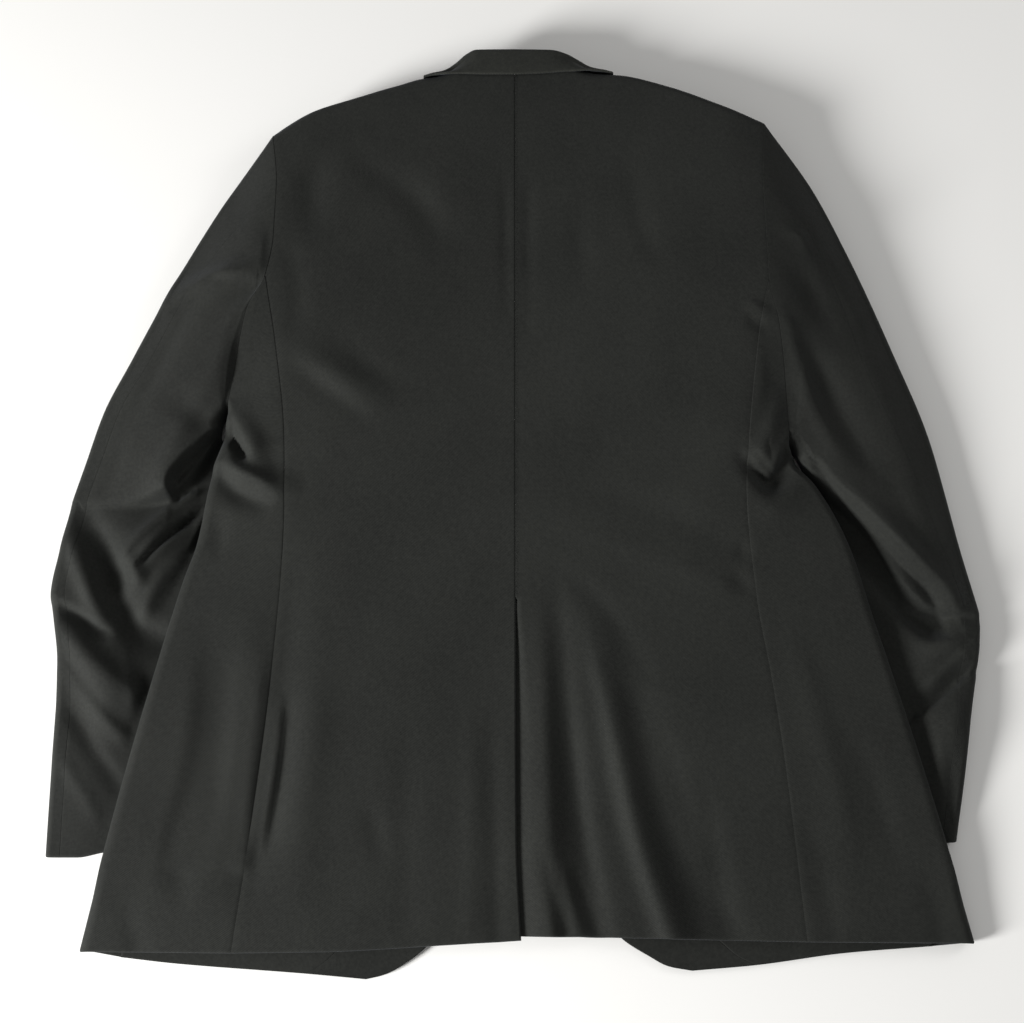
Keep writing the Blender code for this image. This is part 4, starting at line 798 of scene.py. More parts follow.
def side_panel(side, armhole):
    """Outer points and cells of a side panel: from the side-back seam round the fold to the front seam."""
    shares = np.linspace(0.0, 1.0, HEM_TO_UNDERARM_ROWS + 1)
    seam = side_seam_rows(side, armhole)
    fold = along(SIDE_FOLD[side], shares)
    front = along(FRONT_SEAM[side], shares)
    turn_in = np.array([SIGN[side] * SIDE_TURN, 0.0])
    arm, low = armhole.above(), armhole.below()
    blade = RIM_STEPS + CUFF_TO_SEAM_STEPS + SEAM_TO_BLADE_STEPS
    stations = arm[blade:blade + BLADE_TO_UNDERARM_STEPS + 1][::-1]
    ends = np.concatenate([(fold - turn_in)[:-1], stations[:, :2]])
    seam[-1] = ends[-1] = seam[-1] - np.array([0.0, POINT_SHORT])
    across = np.linspace(0.0, 1.0, SIDE_COLUMNS + 1)[None, :, None]
    plan = seam[:, None] * (1 - across) + ends[:, None] * across
    upper = with_height(plan, body_top(plan[..., 0], plan[..., 1]))
    upper[HEM_TO_UNDERARM_ROWS:-1, -1] = stations[:-1]
    arm_low = low[RIM_STEPS - 1:RIM_STEPS + FRONT_SEAM_COLUMNS]
    starts = fold - turn_in
    starts[-1] = arm_low[0, :2]
    across = np.linspace(0.0, 1.0, FRONT_SEAM_COLUMNS + 1)[None, :, None]
    plan = starts[:, None] * (1 - across) + front[:, None] * across
    lower = with_height(plan, body_floor(side, plan[..., 0], plan[..., 1]))
    lower[-1] = arm_low
    over = upper[:HEM_TO_UNDERARM_ROWS + 1]
    edge = with_height(fold, 0.5 * (over[:, -1, 2] + lower[:, 0, 2]))
    edge[-1] = armhole.under
    round_up = [quarter(edge, over[:, -1], turn) for turn in reversed(rim_turns())]
    round_down = [quarter(edge, lower[:, 0], turn) for turn in rim_turns()]
    round_up, round_down = np.stack(round_up, axis=1), np.stack(round_down, axis=1)
    grid = np.concatenate([over, round_up, edge[:, None], round_down, lower], axis=1)
    start = blade + BLADE_TO_UNDERARM_STEPS
    grid[-1, SIDE_COLUMNS:] = np.concatenate([arm[start:], low[:RIM_STEPS + FRONT_SEAM_COLUMNS]])
    gusset = np.repeat(upper[HEM_TO_UNDERARM_ROWS + 1:, -1:], grid.shape[1], axis=1)
    gusset[:, :SIDE_COLUMNS + 1] = upper[HEM_TO_UNDERARM_ROWS + 1:]
    grid = np.concatenate([grid, gusset])
    cells = np.ones((grid.shape[0] - 1, grid.shape[1] - 1), bool)
    cells[HEM_TO_UNDERARM_ROWS:, SIDE_COLUMNS:] = False
    return grid, cells


def front_panel(side, armhole, side_grid):
    """Outer points of a front, which faces the floor: rows from the hem up, columns from the side in."""
    low = armhole.below()
    start = RIM_STEPS - 1 + FRONT_SEAM_COLUMNS
    arm_up = low[start:start + FRONT_ARMHOLE_STEPS + 1]
    seam = side_grid[:HEM_TO_UNDERARM_ROWS + 1, -1]
    outer = np.concatenate([seam[:, :2], arm_up[1:, :2]])
    top_edge = shoulder_edge(side)[NECK_COLUMNS:][::-1]
    top = inside_of(top_edge[:, :2], SHOULDER_TURN)
    top[0] = arm_up[-1, :2]
    rise = lengths(outer)
    upward = rise / rise[-1]
    inner = along(FRONT_EDGE[side], upward * (1.0 - SHOULDER_TURN / lengths(FRONT_EDGE[side])[-1]))
    top[-1] = inner[-1]
    hem = FRONT_HEM[side]
    shares = np.linspace(0.0, 1.0, 400)
    to_facing = shares[np.argmin(np.abs(along(hem, shares)[:, 0] - FACING_SEAM_X[side]))]
    across = np.concatenate(
        [
            np.linspace(0.0, to_facing, FRONT_COLUMNS_TO_FACING + 1),
            np.linspace(to_facing, 1.0, FRONT_COLUMNS_IN_FACING + 1)[1:],
        ]
    )
    bottom = along(hem, across)
    plan = coons(bottom, top, outer, inner, across, upward)
    grid = with_height(plan, body_floor(side, plan[..., 0], plan[..., 1]))
    grid[:HEM_TO_UNDERARM_ROWS + 1, 0] = seam
    grid[HEM_TO_UNDERARM_ROWS:, 0] = arm_up
    rims = [quarter(top_edge, grid[-1], turn) for turn in reversed(rim_turns())]
    grid = np.concatenate([grid, np.array(rims), top_edge[None]])
    grid[-RIM_STEPS:-1, 0] = low[start + FRONT_ARMHOLE_STEPS + 1:]
    grid[-1, 0] = armhole.shoulder
    return grid


def shares_between(stations, first, middle, last):
    """How far a middle station lies between a first and a last one."""
    return (stations[middle] - stations[first]) / (stations[last] - stations[first])


def stations_between(stops, steps):
    """Stations through the stops, each stretch cut into its number of steps."""
    parts = [np.linspace(a, b, n + 1)[1:] for a, b, n in zip(stops[:-1], stops[1:], steps)]
    return np.concatenate([[stops[0]], *parts])


def sleeve_ring(side, w, row, seam, shares):
    """One ring of a sleeve in order: the outer edge, over the top, the inner edge, and back below."""
    points, tops = row[:8].reshape(4, 2), row[8:]
    knots = lengths(points)
    begin = min(SLEEVE_TURN, 0.5 * tops[0])
    end = knots[-1] - min(SLEEVE_TURN, 0.5 * tops[3])
    blade = seam + (end - seam) * shares[0]
    front = end - (end - begin) * shares[1]
    stations = stations_between(
        (begin, seam, blade, end), (CUFF_TO_SEAM_STEPS, SEAM_TO_BLADE_STEPS, BLADE_TO_UNDERARM_STEPS)
    )
    plan = through(knots, points, stations)
    top = through(knots, tops, stations)
    low = SLEEVE_LEAST * np.minimum(1.0, top / SLEEVE_LEAST)
    height = folds("sleeve", plan[:, 0], plan[:, 1])
    top = top + np.minimum(height, 0.0) + np.maximum(height, 0.0) * in_the_open(side, w, plan)
    top = low + SLEEVE_SOFTNESS * np.logaddexp(0.0, (top - low) / SLEEVE_SOFTNESS)
    upper = with_height(plan, top)
    stations = stations_between((end, front, begin), (FRONT_SEAM_COLUMNS, FRONT_ARMHOLE_STEPS))
    plan = through(knots, points, stations)
    lower = with_height(plan, np.zeros(len(plan)))
    outer_edge = np.append(points[0], 0.5 * upper[0, 2])
    inner_edge_point = np.append(points[3], 0.5 * upper[-1, 2])
    return [
        outer_edge,
        *(quarter(outer_edge, upper[0], turn) for turn in rim_turns()),
        *upper,
        *(quarter(inner_edge_point, upper[-1], turn) for turn in reversed(rim_turns())),
        inner_edge_point,
        *(quarter(inner_edge_point, lower[0], turn) for turn in rim_turns()),
        *lower,
        *(quarter(outer_edge, lower[-1], turn) for turn in reversed(rim_turns())),
    ]


def ring_stops(table):
    """Where the sleeve is cut into rings: evenly between each pair of guide rings, as their spacing asks."""
    spacing = np.linalg.norm(np.diff(table[:, 0:2], axis=0), axis=1)
    spacing = np.maximum(spacing, np.linalg.norm(np.diff(table[:, 4:6], axis=0), axis=1))
    steps = np.maximum(LEAST_RING_STEPS, np.round(spacing / RING_SPACING).astype(int))
    return stations_between(np.arange(len(table), dtype=float), steps)


def sleeve(side, armhole):
    """Outer points of a sleeve: rows from the armhole to the cuff, columns round from the outer edge."""
    first = along(BACK_ARMHOLE[side], (0.0, 1 / 3, 2 / 3, 1.0))
    table = [np.concatenate([first.ravel(), body_top(first[:, 0], first[:, 1])])]
    table = np.array(table + [np.asarray(ring, float) for ring in SLEEVE_RINGS[side]])
    rings = np.arange(len(table), dtype=float)
    stops = ring_stops(table)
    at_seam = CUFF_TO_SEAM_STEPS
    shares = (
        shares_between(armhole.upper, at_seam, at_seam + SEAM_TO_BLADE_STEPS, -1),
        shares_between(armhole.lower, 0, FRONT_SEAM_COLUMNS, -1),
    )
    grid = np.array(
        [
            sleeve_ring(side, w, through(rings, table, w), float(through(rings, HINDARM[side], w)), shares)
            for w in stops
        ]
    )
    to_loop = np.concatenate([armhole.above(), armhole.below()]) - grid[0]
    fade = 1.0 - smooth_step(stops / ARMHOLE_RINGS)
    return grid + fade[:, None, None] * to_loop


def in_the_open(side, w, plan):
    """1 where the sleeve lies in the open, 0 where the body lies over it."""
    if w < FOOT_RING:
        return np.ones(len(plan))
    past = np.abs(plan[:, 0]) - np.abs(edge_x(side, plan[:, 1]))
    return smooth_step((past - OPEN_FROM) / OPEN_OVER)


def weld(points):
    """The index of the first point at each point's place."""
    _, first, index = np.unique(np.round(points, 3), axis=0, return_index=True, return_inverse=True)
    return first[index.reshape(-1)]


def cell_corners(cells, flip):
    """Corners of each cell as indices into the flattened grid, in the order that makes it face outwards."""
    i, j = np.nonzero(cells)
    columns = cells.shape[1] + 1
    a = i * columns + j
    corners = np.stack([a, a + 1, a + 1 + columns, a + columns], axis=1)
    return corners[:, ::-1] if flip else corners


def vertex_normals(panels):
    """Normals of the welded outer surface, so that pieces which meet at a seam agree on them."""
    points = np.concatenate([panel["grid"].reshape(-1, 3) for panel in panels])
    same = weld(points)
    total = np.zeros_like(points)
    start = 0
    for panel in panels:
        corners = cell_corners(panel["cells"], panel["flip"]) + start
        a, b, c, d = (points[corners[:, k]] for k in range(4))
        area = np.cross(c - a, d - b)
        for k in range(4):
            np.add.at(total, same[corners[:, k]], area)
        start += panel["grid"].shape[0] * panel["grid"].shape[1]
    total = total[same]
    total /= np.maximum(np.linalg.norm(total, axis=1), 1e-9)[:, None]
    start = 0
    for panel in panels:
        shape = panel["grid"].shape
        count = shape[0] * shape[1]
        panel["normals"] = total[start:start + count].reshape(shape)
        start += count


def places_with_loops(count, beside):
    """Row or column places, with the seam loops set in beside some of them."""
    places = set(range(count))
    for index, step in beside:
        index = index % count
        places |= {index + step * share for share in SEAM_LOOPS}
    return np.array(sorted(places), float)


def spread(values, places, axis):
    """Reads a grid's values at places along one axis."""
    low = np.minimum(np.floor(places).astype(int), values.shape[axis] - 2)
    part = (places - low).reshape([-1 if k == axis else 1 for k in range(values.ndim)])
    first, second = np.take(values, low, axis), np.take(values, low + 1, axis)
    return first + (second - first) * part


def with_seam_loops(piece):
    """A panel's grid, normals and cells, with two loops beside each edge for the seam to dip in."""
    grid, normals, cells = piece["grid"], piece["normals"], piece["cells"]
    rows = places_with_loops(grid.shape[0], ((0, 1), (-1, -1), *piece.get("rows_beside", ())))
    columns = places_with_loops(grid.shape[1], ((0, 1), (-1, -1), *piece.get("columns_beside", ())))
    grid = spread(spread(grid, rows, 0), columns, 1)
    normals = spread(spread(normals, rows, 0), columns, 1)
    normals /= np.maximum(np.linalg.norm(normals, axis=2), 1e-9)[..., None]
    cells = cells[np.floor(rows[:-1]).astype(int)][:, np.floor(columns[:-1]).astype(int)]
    return grid, normals, cells


def edge_ways(cells):
    """Points on a piece's edge, each with the steps in the grid that lead inwards."""
    near = np.pad(cells, 1)
    filled = near[:-1, :-1].astype(int) + near[:-1, 1:] + near[1:, :-1] + near[1:, 1:]
    found = {}
    for i, j in np.argwhere((filled > 0) & (filled < 4)):
        here = near[i:i + 2, j:j + 2]
        if filled[i, j] == 3:
            bare_row, bare_column = np.argwhere(~here)[0]
            found[i, j] = [(1 - 2 * bare_row, 1 - 2 * bare_column)]
            continue
        found[i, j] = [
            way
            for way, bare, full in (
                ((0, -1), here[:, 1], here[:, 0]),
                ((0, 1), here[:, 0], here[:, 1]),
                ((-1, 0), here[1], here[0]),
                ((1, 0), here[0], here[1]),
            )
            if full.any() and not bare.any()
        ]
    return found


def inward(grid, ways):
    """The direction in which each edge point moves into its piece."""
    shift = np.zeros_like(grid)
    for (i, j), steps in ways.items():
        for di, dj in steps:
            run = grid[i + di, j + dj] - grid[i, j]
            size = np.linalg.norm(run)
            if size > 1e-6:
                shift[i, j] += run / size
    return shift


def beside(mask):
    """A mask grown by one point each way."""
    wide = np.pad(mask, 1)
    rows, columns = mask.shape
    return np.any([wide[i:i + rows, j:j + columns] for i in range(3) for j in range(3)], axis=0)


def closeness(grid):
    """1 at an underarm or shoulder point, where the folded walls crowd each other, 0 away from them."""
    points = [BACK_ARMHOLE[side][k] for side in SIDES for k in (0, -1)]
    far = np.min([np.hypot(grid[..., 0] - x, grid[..., 1] - y) for x, y in points], axis=0)
    return smooth_step(2.0 - far / CROWDED_REACH)


def dips(edge, free, seam_dip):
    """How far the outer face sinks towards its seams, and rounds over at its turned edges."""
    seam = edge & ~free
    reached = edge.copy()
    depth = seam_dip * SEAM_DIP_SHARES[0] * seam + TURNED_EDGE_DIP * (edge & free)
    for share in SEAM_DIP_SHARES[1:]:
        seam = beside(seam) & ~reached
        reached |= seam
        depth = depth + seam_dip * share * seam
    return depth


def cloth_coordinates(grid, start):
    """Lengths along the rows and the columns of a panel, in metres, for the weave to follow."""
    across = np.linalg.norm(np.diff(grid, axis=1), axis=2)
    along_it = np.linalg.norm(np.diff(grid, axis=0), axis=2)
    u = np.concatenate([np.zeros((grid.shape[0], 1)), np.cumsum(across, axis=1)], axis=1)
    u -= u[:, start:start + 1]
    v = np.concatenate([np.zeros((1, grid.shape[1])), np.cumsum(along_it, axis=0)], axis=0)
    return metres(np.stack([u, v], axis=-1))


def faces_of(corners, same):
    """Faces with repeated corners taken out."""
    corners = same[corners]
    whole = (corners != np.roll(corners, 1, axis=1)).all(axis=1)
    faces = [tuple(face) for face in corners[whole].tolist()]
    for face in corners[~whole].tolist():
        kept = [p for k, p in enumerate(face) if p != face[k - 1]]
        if len(set(kept)) >= 3:
            faces.append(tuple(kept))
    return faces


def sheet_of_cloth(piece):
    """A thin shell on a panel's points, its seams sunk and its turned edges rounded."""
    grid, normals, cells = with_seam_loops(piece)
    ways = edge_ways(cells)
    edge = np.zeros(grid.shape[:2], bool)
    edge[tuple(np.array(list(ways)).T)] = True
    free = piece["free"](grid) if "free" in piece else np.ones(edge.shape, bool)
    pull = inward(grid, ways)
    tight = closeness(grid)[..., None]
    wall = piece.get("wall", WALL) - CROWDED_THINNING * tight
    base = grid + pull * SEAM_PULL
    inner = base - normals * wall
    inner[..., 2] = np.maximum(inner[..., 2], 0.0)
    sink = dips(edge, free, piece.get("seam_dip", SEAM_DIP))[..., None]
    outer = base - normals * np.minimum(sink, DEEPEST_DIP * wall)
    middle = 0.5 * (outer + inner) - pull * (TURNED_EDGE_BULGE * (edge & free))[..., None]
    count = grid.shape[0] * grid.shape[1]
    same = weld(grid.reshape(-1, 3))
    outside = faces_of(cell_corners(cells, piece["flip"]), same)
    edges = {(a, b) for face in outside for a, b in zip(face, face[1:] + face[:1])}
    rim = [(a, b) for a, b in edges if (b, a) not in edges]
    faces = list(outside)
    faces += [tuple(p + count for p in reversed(face)) for face in outside]
    for a, b in sorted(rim):
        faces.append((b, a, a + 2 * count, b + 2 * count))
        faces.append((b + 2 * count, a + 2 * count, a + count, b + count))
    points = np.concatenate([part.reshape(-1, 3) for part in (outer, inner, middle)])
    start = 2 * len(SEAM_LOOPS) + piece.get("weave_from", 0)
    weave = np.tile(cloth_coordinates(grid, start).reshape(-1, 2), (3, 1))
    return make_piece(piece["name"], points, faces, weave)


def make_piece(name, points, faces, weave):
    """A mesh object from the points that its faces use, with the weave's coordinates."""
    used = np.unique(np.concatenate([np.array(face) for face in faces]))
    place = np.zeros(len(points), int)
    place[used] = np.arange(len(used))
    mesh = bpy.data.meshes.new(name + "_cloth")
    mesh.from_pydata(metres(points[used]).tolist(), [], [place[list(face)].tolist() for face in faces])
    layer = mesh.uv_layers.new(name="weave")
    corner_points = np.zeros(len(mesh.loops), int)
    mesh.loops.foreach_get("vertex_index", corner_points)
    layer.data.foreach_set("uv", weave[used][corner_points].ravel())
    mesh.shade_smooth()
    mesh.set_sharp_from_angle(angle=math.radians(SHARP_EDGE))
    thing = bpy.data.objects.new(name + "_cloth", mesh)
    bpy.context.scene.collection.objects.link(thing)
    return thing


def hem_is_free(grid):
    free = np.zeros(grid.shape[:2], bool)
    free[0] = True
    return free


def back_is_free(grid):
    """The back's hem, and its vent below the seam."""
    free = hem_is_free(grid)
    for j in range(len(UNDERLAY_SHARES) + 1):
        free[:, j] |= grid[:, j, 1] < VENT_TOP
    return free


def front_is_free(grid):
    free = hem_is_free(grid)
    free[:, -1] = True
    return free


def cuff_is_free(grid):
    free = np.zeros(grid.shape[:2], bool)
    free[-1] = True
    return free


def panel(name, grid, side, free, cells=None, **more):
    if cells is None:
        cells = np.ones((grid.shape[0] - 1, grid.shape[1] - 1), bool)
    return {"name": name, "grid": grid, "cells": cells, "flip": side == "left", "free": free, **more}


def body_and_sleeves():
    """The outer panels that share seams, as grids that meet point for point."""
    panels = []
    for side in SIDES:
        armhole = Armhole(side)
        back = back_panel(side, armhole)
        weave_from = 0
        side_grid, side_cells = side_panel(side, armhole)
        front = front_panel(side, armhole, side_grid)
        cells = None
        if side == "right":
            back, cells = right_back_with_vent(back)
            weave_from = len(UNDERLAY_SHARES)
        panels.append(panel("back_" + side, back, side, back_is_free, cells, weave_from=weave_from))
        panels.append(
            panel(
                "side_" + side, side_grid, side, hem_is_free, side_cells,
                rows_beside=((HEM_TO_UNDERARM_ROWS, -1),), columns_beside=((SIDE_COLUMNS, -1),),
            )
        )
        panels.append(panel("front_" + side, front, side, front_is_free))
        ring = sleeve(side, armhole)
        hindarm = RIM_STEPS + CUFF_TO_SEAM_STEPS
        forearm = len(armhole.above()) - 1 + RIM_STEPS + FRONT_SEAM_COLUMNS
        under = ring[:, hindarm:forearm + 1]
        panels.append(panel("sleeve_under_" + side, under, side, cuff_is_free, seam_dip=SLEEVE_SEAM_DIP))
        over = np.concatenate([ring[:, forearm:], ring[:, :hindarm + 1]], axis=1)
        panels.append(panel("sleeve_top_" + side, over, side, cuff_is_free, seam_dip=SLEEVE_SEAM_DIP))
    return panels


def turned_in(front):
    """The facing and the turned-up hem of a front's lower edge, made from the front's own points."""
    side = front["name"].removeprefix("front_")
    inner = front["grid"] - front["normals"] * (WALL + SEAM_GAP)
    rows = slice(0, FACING_ROWS + 1)
    split = FRONT_COLUMNS_TO_FACING
    pieces = []
    for name, columns in (("hem_", slice(0, split + 1)), ("facing_", slice(split, None))):
        normals = front["normals"][rows, columns]
        grid = inner[rows, columns].copy()
        pieces.append(panel(name + side, grid, side, None, wall=TURNED_WALL, normals=normals))
    return pieces


def flat_piece(name, pairs, side):
    """A folded-back piece that lies on the floor: rows of roll line point and free edge point."""
    pairs = np.asarray(pairs, float).reshape(len(pairs), 4)
    pairs = through(np.arange(len(pairs)), pairs, np.linspace(0, len(pairs) - 1, FLAT_ROWS + 1))
    pairs = pairs.reshape(-1, 2, 2)
    share = np.linspace(0.0, 1.0, FLAT_STEPS + 1)[None, :, None]
    plan = pairs[:, :1] * (1 - share) + pairs[:, 1:] * share
    plan[..., 0] *= -SIGN[side]
    grid = with_height(plan, np.zeros(plan.shape[:2]))
    down = np.zeros_like(grid)
    down[..., 2] = -1.0
    return panel(name + side, grid, "right" if side == "left" else "left", None, normals=down)


def collar():
    """The leaf from its free edge over the roll, and the stand from below the roll to the neck seam."""
    table = np.asarray(COLLAR_LEAF, float)
    table = through(np.arange(len(table)), table, np.linspace(0, len(table) - 1, LEAF_COLUMNS + 1))
    edge, roll, roll_z = table[:, :2], table[:, 2:4], table[:, 4]
    lean = roll - edge
    depth = np.linalg.norm(lean, axis=1)[:, None]
    lean /= depth
    start = roll - lean * np.minimum(LEAF_TURN, 0.5 * depth)
    below = roll - lean * np.minimum(LEAF_TURN, 0.25 * depth + 1.5)
    from_end = np.minimum(np.arange(LEAF_COLUMNS + 1), np.arange(LEAF_COLUMNS, -1, -1))
    full = smooth_step(from_end / LEAF_END_COLUMNS)
    edge_z = body_top(edge[:, 0], edge[:, 1], with_folds=False) + LEAF_END_LIFT
    edge_z += (LEAF_LIFT - LEAF_END_LIFT) * full
    rows = []
    for k in range(LEAF_ROWS + 1):
        share = k / LEAF_ROWS
        rise = (roll_z + ROLL_HALF - edge_z) * (LEAF_END_RISE + (1.0 - LEAF_END_RISE) * full)
        height = edge_z + rise * share**LEAF_BEND
        rows.append(with_height(edge + (start - edge) * share, height))
    lip = with_height(roll, roll_z)
    under = with_height(below, roll_z - ROLL_HALF)
    rows += [quarter(lip, rows[-1], turn) for turn in reversed(rim_turns())]
    rows.append(lip)
    rows += [quarter(lip, under, turn) for turn in rim_turns()]
    rows.append(under)
    leaf = np.array(rows)[:, ::-1]
    inset = 2 * LEAF_COLUMNS // (len(COLLAR_LEAF) - 1)
    start = under[inset:-inset]
    end = start.copy()
    end[:, 1] = np.minimum(STAND_END_Y, start[:, 1] - STAND_LEAST)
    end[:, 2] = start[:, 2] + STAND_RISE
    shares = np.linspace(0.0, 1.0, STAND_ROWS + 1)[:, None, None]
    stand = (start + (end - start) * shares)[:, ::-1]
    return [panel("collar_leaf", leaf, "left", None), panel("collar_stand", stand, "left", None)]


def linear(code):
    """An sRGB hex colour as linear RGBA."""
    parts = [int(code[k:k + 2], 16) / 255 for k in (1, 3, 5)]
    return (*(c / 12.92 if c <= 0.04045 else ((c + 0.055) / 1.055) ** 2.4 for c in parts), 1.0)


def add_node(tree, kind, values, **settings):
    """Adds a node with its settings; each value is a number, a colour or a socket to link from."""
    made = tree.nodes.new(kind)
    for name, value in settings.items():
        setattr(made, name, value)
    for socket, value in values.items():
        if isinstance(value, bpy.types.NodeSocket):
            tree.links.new(value, made.inputs[socket])
        else:
            made.inputs[socket].default_value = value
    return made


def start_material(name, values):
    material = bpy.data.materials.new(name)
    material.use_nodes = True
    tree = material.node_tree
    tree.nodes.clear()
    shader = add_node(tree, "ShaderNodeBsdfPrincipled", values)
    output = add_node(tree, "ShaderNodeOutputMaterial", {"Surface": shader.outputs["BSDF"]})
    output.is_active_output = True
    return material, tree, shader


def noise(tree, place, size, values):
    """A noise texture whose patches are about a size in millimetres."""
    values = {"Vector": place.outputs["Object"], "Scale": 1000 / size, **values}
    return add_node(tree, "ShaderNodeTexNoise", values)


def mixed(tree, factor, first, second, kind="FLOAT"):
    """The result of mixing two numbers or two colours."""
    values = {"Factor": factor, "A": first, "B": second}
    return add_node(tree, "ShaderNodeMix", values, data_type=kind).outputs["Result"]


def worsted_wool(name, dark, pale):
    """Charcoal worsted, woven as a fine twill and pressed: matt, with a faint cool bloom from its nap."""
    material, tree, shader = start_material(
        name,
        {
            "Roughness": 0.8,
            "Specular IOR Level": 0.14,
            "Sheen Weight": 0.08,
            "Sheen Roughness": 0.4,
            "Sheen Tint": linear("#c4cad8"),
        },
    )
    place = add_node(tree, "ShaderNodeTexCoord", {})
    # The twill line runs steeply across the cut. Real worsted has one about every 0.5 mm, which is too fine
    # to show at this distance, so it is drawn at twice that.
    turn = (0.0, 0.0, math.radians(TWILL_ANGLE))
    turned = add_node(tree, "ShaderNodeMapping", {"Vector": place.outputs["UV"], "Rotation": turn})
    wave = {"Scale": WAVE_LENGTH * 1000 / TWILL_PITCH, "Distortion": 0.6, "Detail": 1.0}
    twill = add_node(tree, "ShaderNodeTexWave", {"Vector": turned.outputs["Vector"], **wave})
    grain = noise(tree, place, YARN_GRAIN, {"Detail": 2.0, "Roughness": 0.6})
    melange = noise(tree, place, MELANGE, {"Detail": 3.0, "Roughness": 0.7})
    patch = noise(tree, place, NAP_PATCH, {"Detail": 2.0, "Roughness": 0.5})
    handle = noise(tree, place, HANDLE_WAVE, {"Detail": 2.0, "Roughness": 0.5})
    threads = mixed(tree, 0.3, melange.outputs["Fac"], twill.outputs["Fac"])
    tone = mixed(tree, 0.3, threads, patch.outputs["Fac"])
    shade = add_node(tree, "ShaderNodeMapRange", {"Value": tone, "From Min": 0.3, "From Max": 0.7})
    colour = mixed(tree, shade.outputs["Result"], linear(dark), linear(pale), "RGBA")
    surface = mixed(tree, 0.5, twill.outputs["Fac"], grain.outputs["Fac"])
    creping = {"Strength": 0.25, "Distance": 0.0015}
    soft = add_node(tree, "ShaderNodeBump", {"Height": handle.outputs["Fac"], **creping})
    weave = {"Strength": 0.45, "Distance": 0.0003, "Normal": soft.outputs["Normal"]}
    fine = add_node(tree, "ShaderNodeBump", {"Height": surface, **weave})
    tree.links.new(colour, shader.inputs["Base Color"])
    tree.links.new(fine.outputs["Normal"], shader.inputs["Normal"])
    return material


def dark_horn():
    """Polished dark horn: faint cloudy streaks under a soft shine."""
    material, tree, shader = start_material("polished_dark_horn", {"Roughness": 0.32, "IOR": 1.54})
    place = add_node(tree, "ShaderNodeTexCoord", {})
    streaks = noise(tree, place, HORN_STREAK, {"Detail": 4.0, "Distortion": 1.6})
    colour = mixed(tree, streaks.outputs["Fac"], linear(HORN_DARK), linear(HORN_LIGHT), "RGBA")
    tree.links.new(colour, shader.inputs["Base Color"])
    return material


def button(name, centre):
    """A jacket button as it shows from its edge: a plain disc with rounded rims."""
    bpy.ops.object.select_all(action="DESELECT")
    x, y = metres(centre)
    bpy.ops.mesh.primitive_cylinder_add(
        vertices=BUTTON_SIDES, radius=BUTTON_RADIUS / 1000, depth=BUTTON_HEIGHT / 1000,
        location=(x, y, 0.5 * BUTTON_HEIGHT / 1000),
    )
    thing = bpy.context.object
    thing.name = name + "_horn"
    bpy.ops.object.transform_apply(location=True, rotation=True, scale=True)
    bpy.ops.object.modifier_add(type="BEVEL")
    bevel = thing.modifiers[-1]
    bevel.width = BUTTON_ROUNDING / 1000
    bevel.segments = BUTTON_ROUNDING_STEPS
    bevel.limit_method = "ANGLE"
    bpy.ops.object.modifier_apply(modifier=bevel.name)
    bpy.ops.object.shade_smooth_by_angle(angle=math.radians(BUTTON_SHARP_EDGE))
    return thing


def stand_for(thing, name, material):
    """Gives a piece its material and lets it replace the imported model's piece of that name."""
    thing.data.materials.append(material)
    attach(thing, "root")
    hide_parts(name)


def lay_out():
    """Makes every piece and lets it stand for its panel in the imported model."""
    wool = worsted_wool("worsted_wool_twill", WOOL_DARK, WOOL_LIGHT)
    # The collar's lighter wool is painted light: a lit copy of the body's wool, not a different cloth.
    collar_wool_painted_lit = worsted_wool("worsted_wool_twill_collar_painted_lit", COLLAR_DARK_PAINTED_LIT, COLLAR_LIGHT_PAINTED_LIT)
    horn = dark_horn()
    panels = body_and_sleeves()
    vertex_normals(panels)
    collar_pieces = collar()
    vertex_normals(collar_pieces)
    panels += collar_pieces
    for piece in [p for p in panels if p["name"].startswith("front_")]:
        panels += turned_in(piece)
    for side in SIDES:
        panels.append(flat_piece("lapel_", LAPEL, side))
        panels.append(flat_piece("collar_front_", COLLAR_END, side))
    for piece in panels:
        if piece["free"] is None:
            del piece["free"]
        name = piece["name"]
        thing = sheet_of_cloth(piece)
        stand_for(thing, name, collar_wool_painted_lit if name == "collar_leaf" else wool)
    for name, centre in BUTTON_AT.items():
        stand_for(button(name, centre), name, horn)


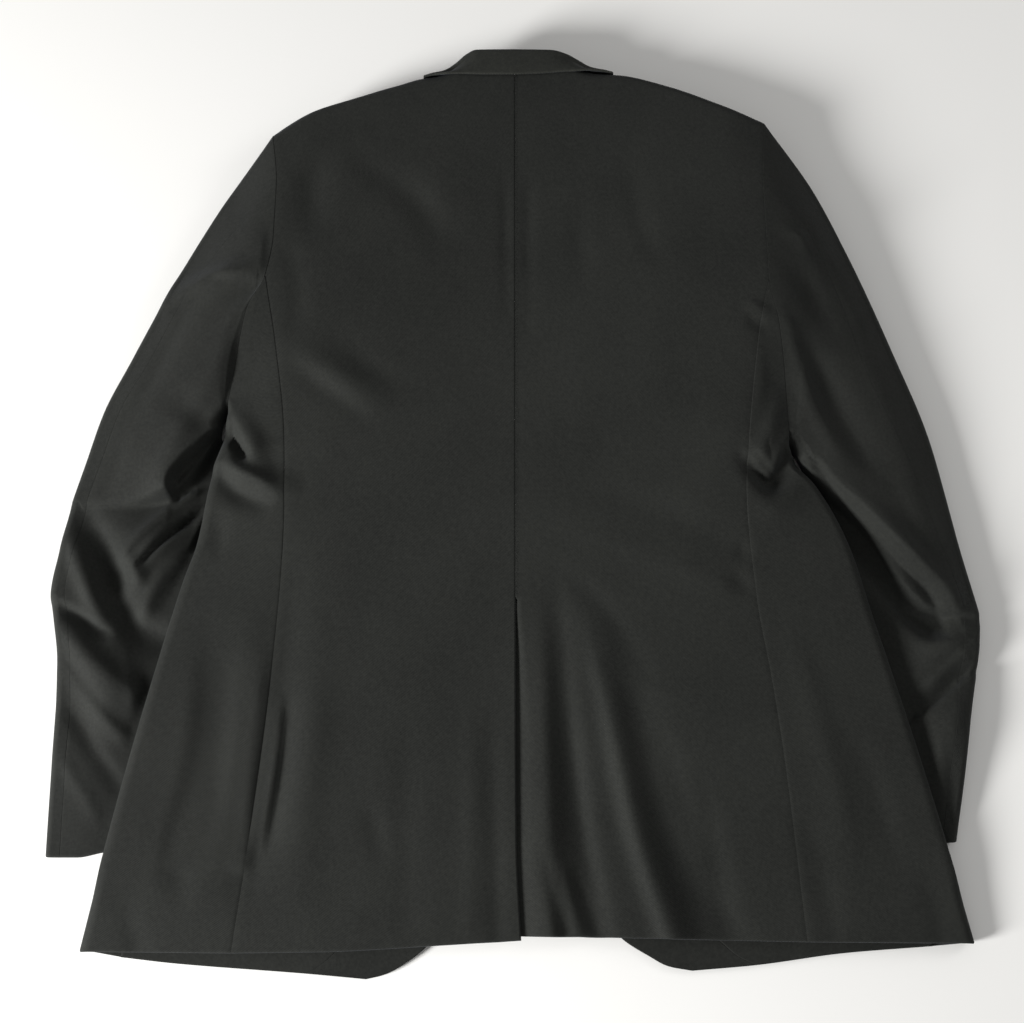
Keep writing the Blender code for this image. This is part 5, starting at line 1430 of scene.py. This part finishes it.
def light(name, values):
    """A round soft light that looks at the middle of the jacket."""
    azimuth, elevation, distance, size, power, colour = values
    turn, rise = math.radians(azimuth), math.radians(elevation)
    lamp = bpy.data.lights.new(name, "AREA")
    lamp.shape = "DISK"
    lamp.size = size
    lamp.energy = power
    lamp.color = linear(colour)[:3]
    thing = bpy.data.objects.new(name, lamp)
    bpy.context.scene.collection.objects.link(thing)
    thing.location = (
        AIM[0] + distance * math.cos(turn) * math.cos(rise),
        AIM[1] + distance * math.sin(turn) * math.cos(rise),
        AIM[2] + distance * math.sin(rise),
    )
    thing.rotation_euler = (0.5 * math.pi - rise, 0.0, turn + 0.5 * math.pi)


def studio():
    """A pale floor, a low soft light from the left, a weak one behind and a camera at the photo's angle."""
    bpy.ops.object.select_all(action="DESELECT")
    bpy.ops.mesh.primitive_plane_add(size=FLOOR_SIZE, location=(0.0, 0.0, -FLOOR_BELOW))
    floor = bpy.context.object
    floor.name = "floor"
    material, _, _ = start_material("pale_floor", {"Base Color": linear(FLOOR), "Roughness": 0.9})
    floor.data.materials.append(material)
    light("key_light", KEY_LIGHT)
    light("rim_light", RIM_LIGHT)
    world = bpy.data.worlds.new("studio_air")
    world.use_nodes = True
    world.node_tree.nodes["Background"].inputs["Color"].default_value = linear("#ffffff")
    world.node_tree.nodes["Background"].inputs["Strength"].default_value = AIR_LIGHT
    bpy.context.scene.world = world
    bpy.context.scene.view_settings.view_transform = "Standard"
    tilt = math.radians(CAMERA_TILT)
    camera = bpy.data.objects.new("camera", bpy.data.cameras.new("camera"))
    bpy.context.scene.collection.objects.link(camera)
    camera.location = (
        AIM[0],
        AIM[1] - CAMERA_DISTANCE * math.sin(tilt),
        AIM[2] + CAMERA_DISTANCE * math.cos(tilt),
    )
    camera.rotation_euler = (tilt, 0.0, 0.0)
    camera.data.sensor_width = SENSOR
    camera.data.lens = SENSOR * PIXELS_PER_METRE * CAMERA_DISTANCE / PICTURE_WIDTH
    bpy.context.scene.camera = camera


lay_out()
studio()
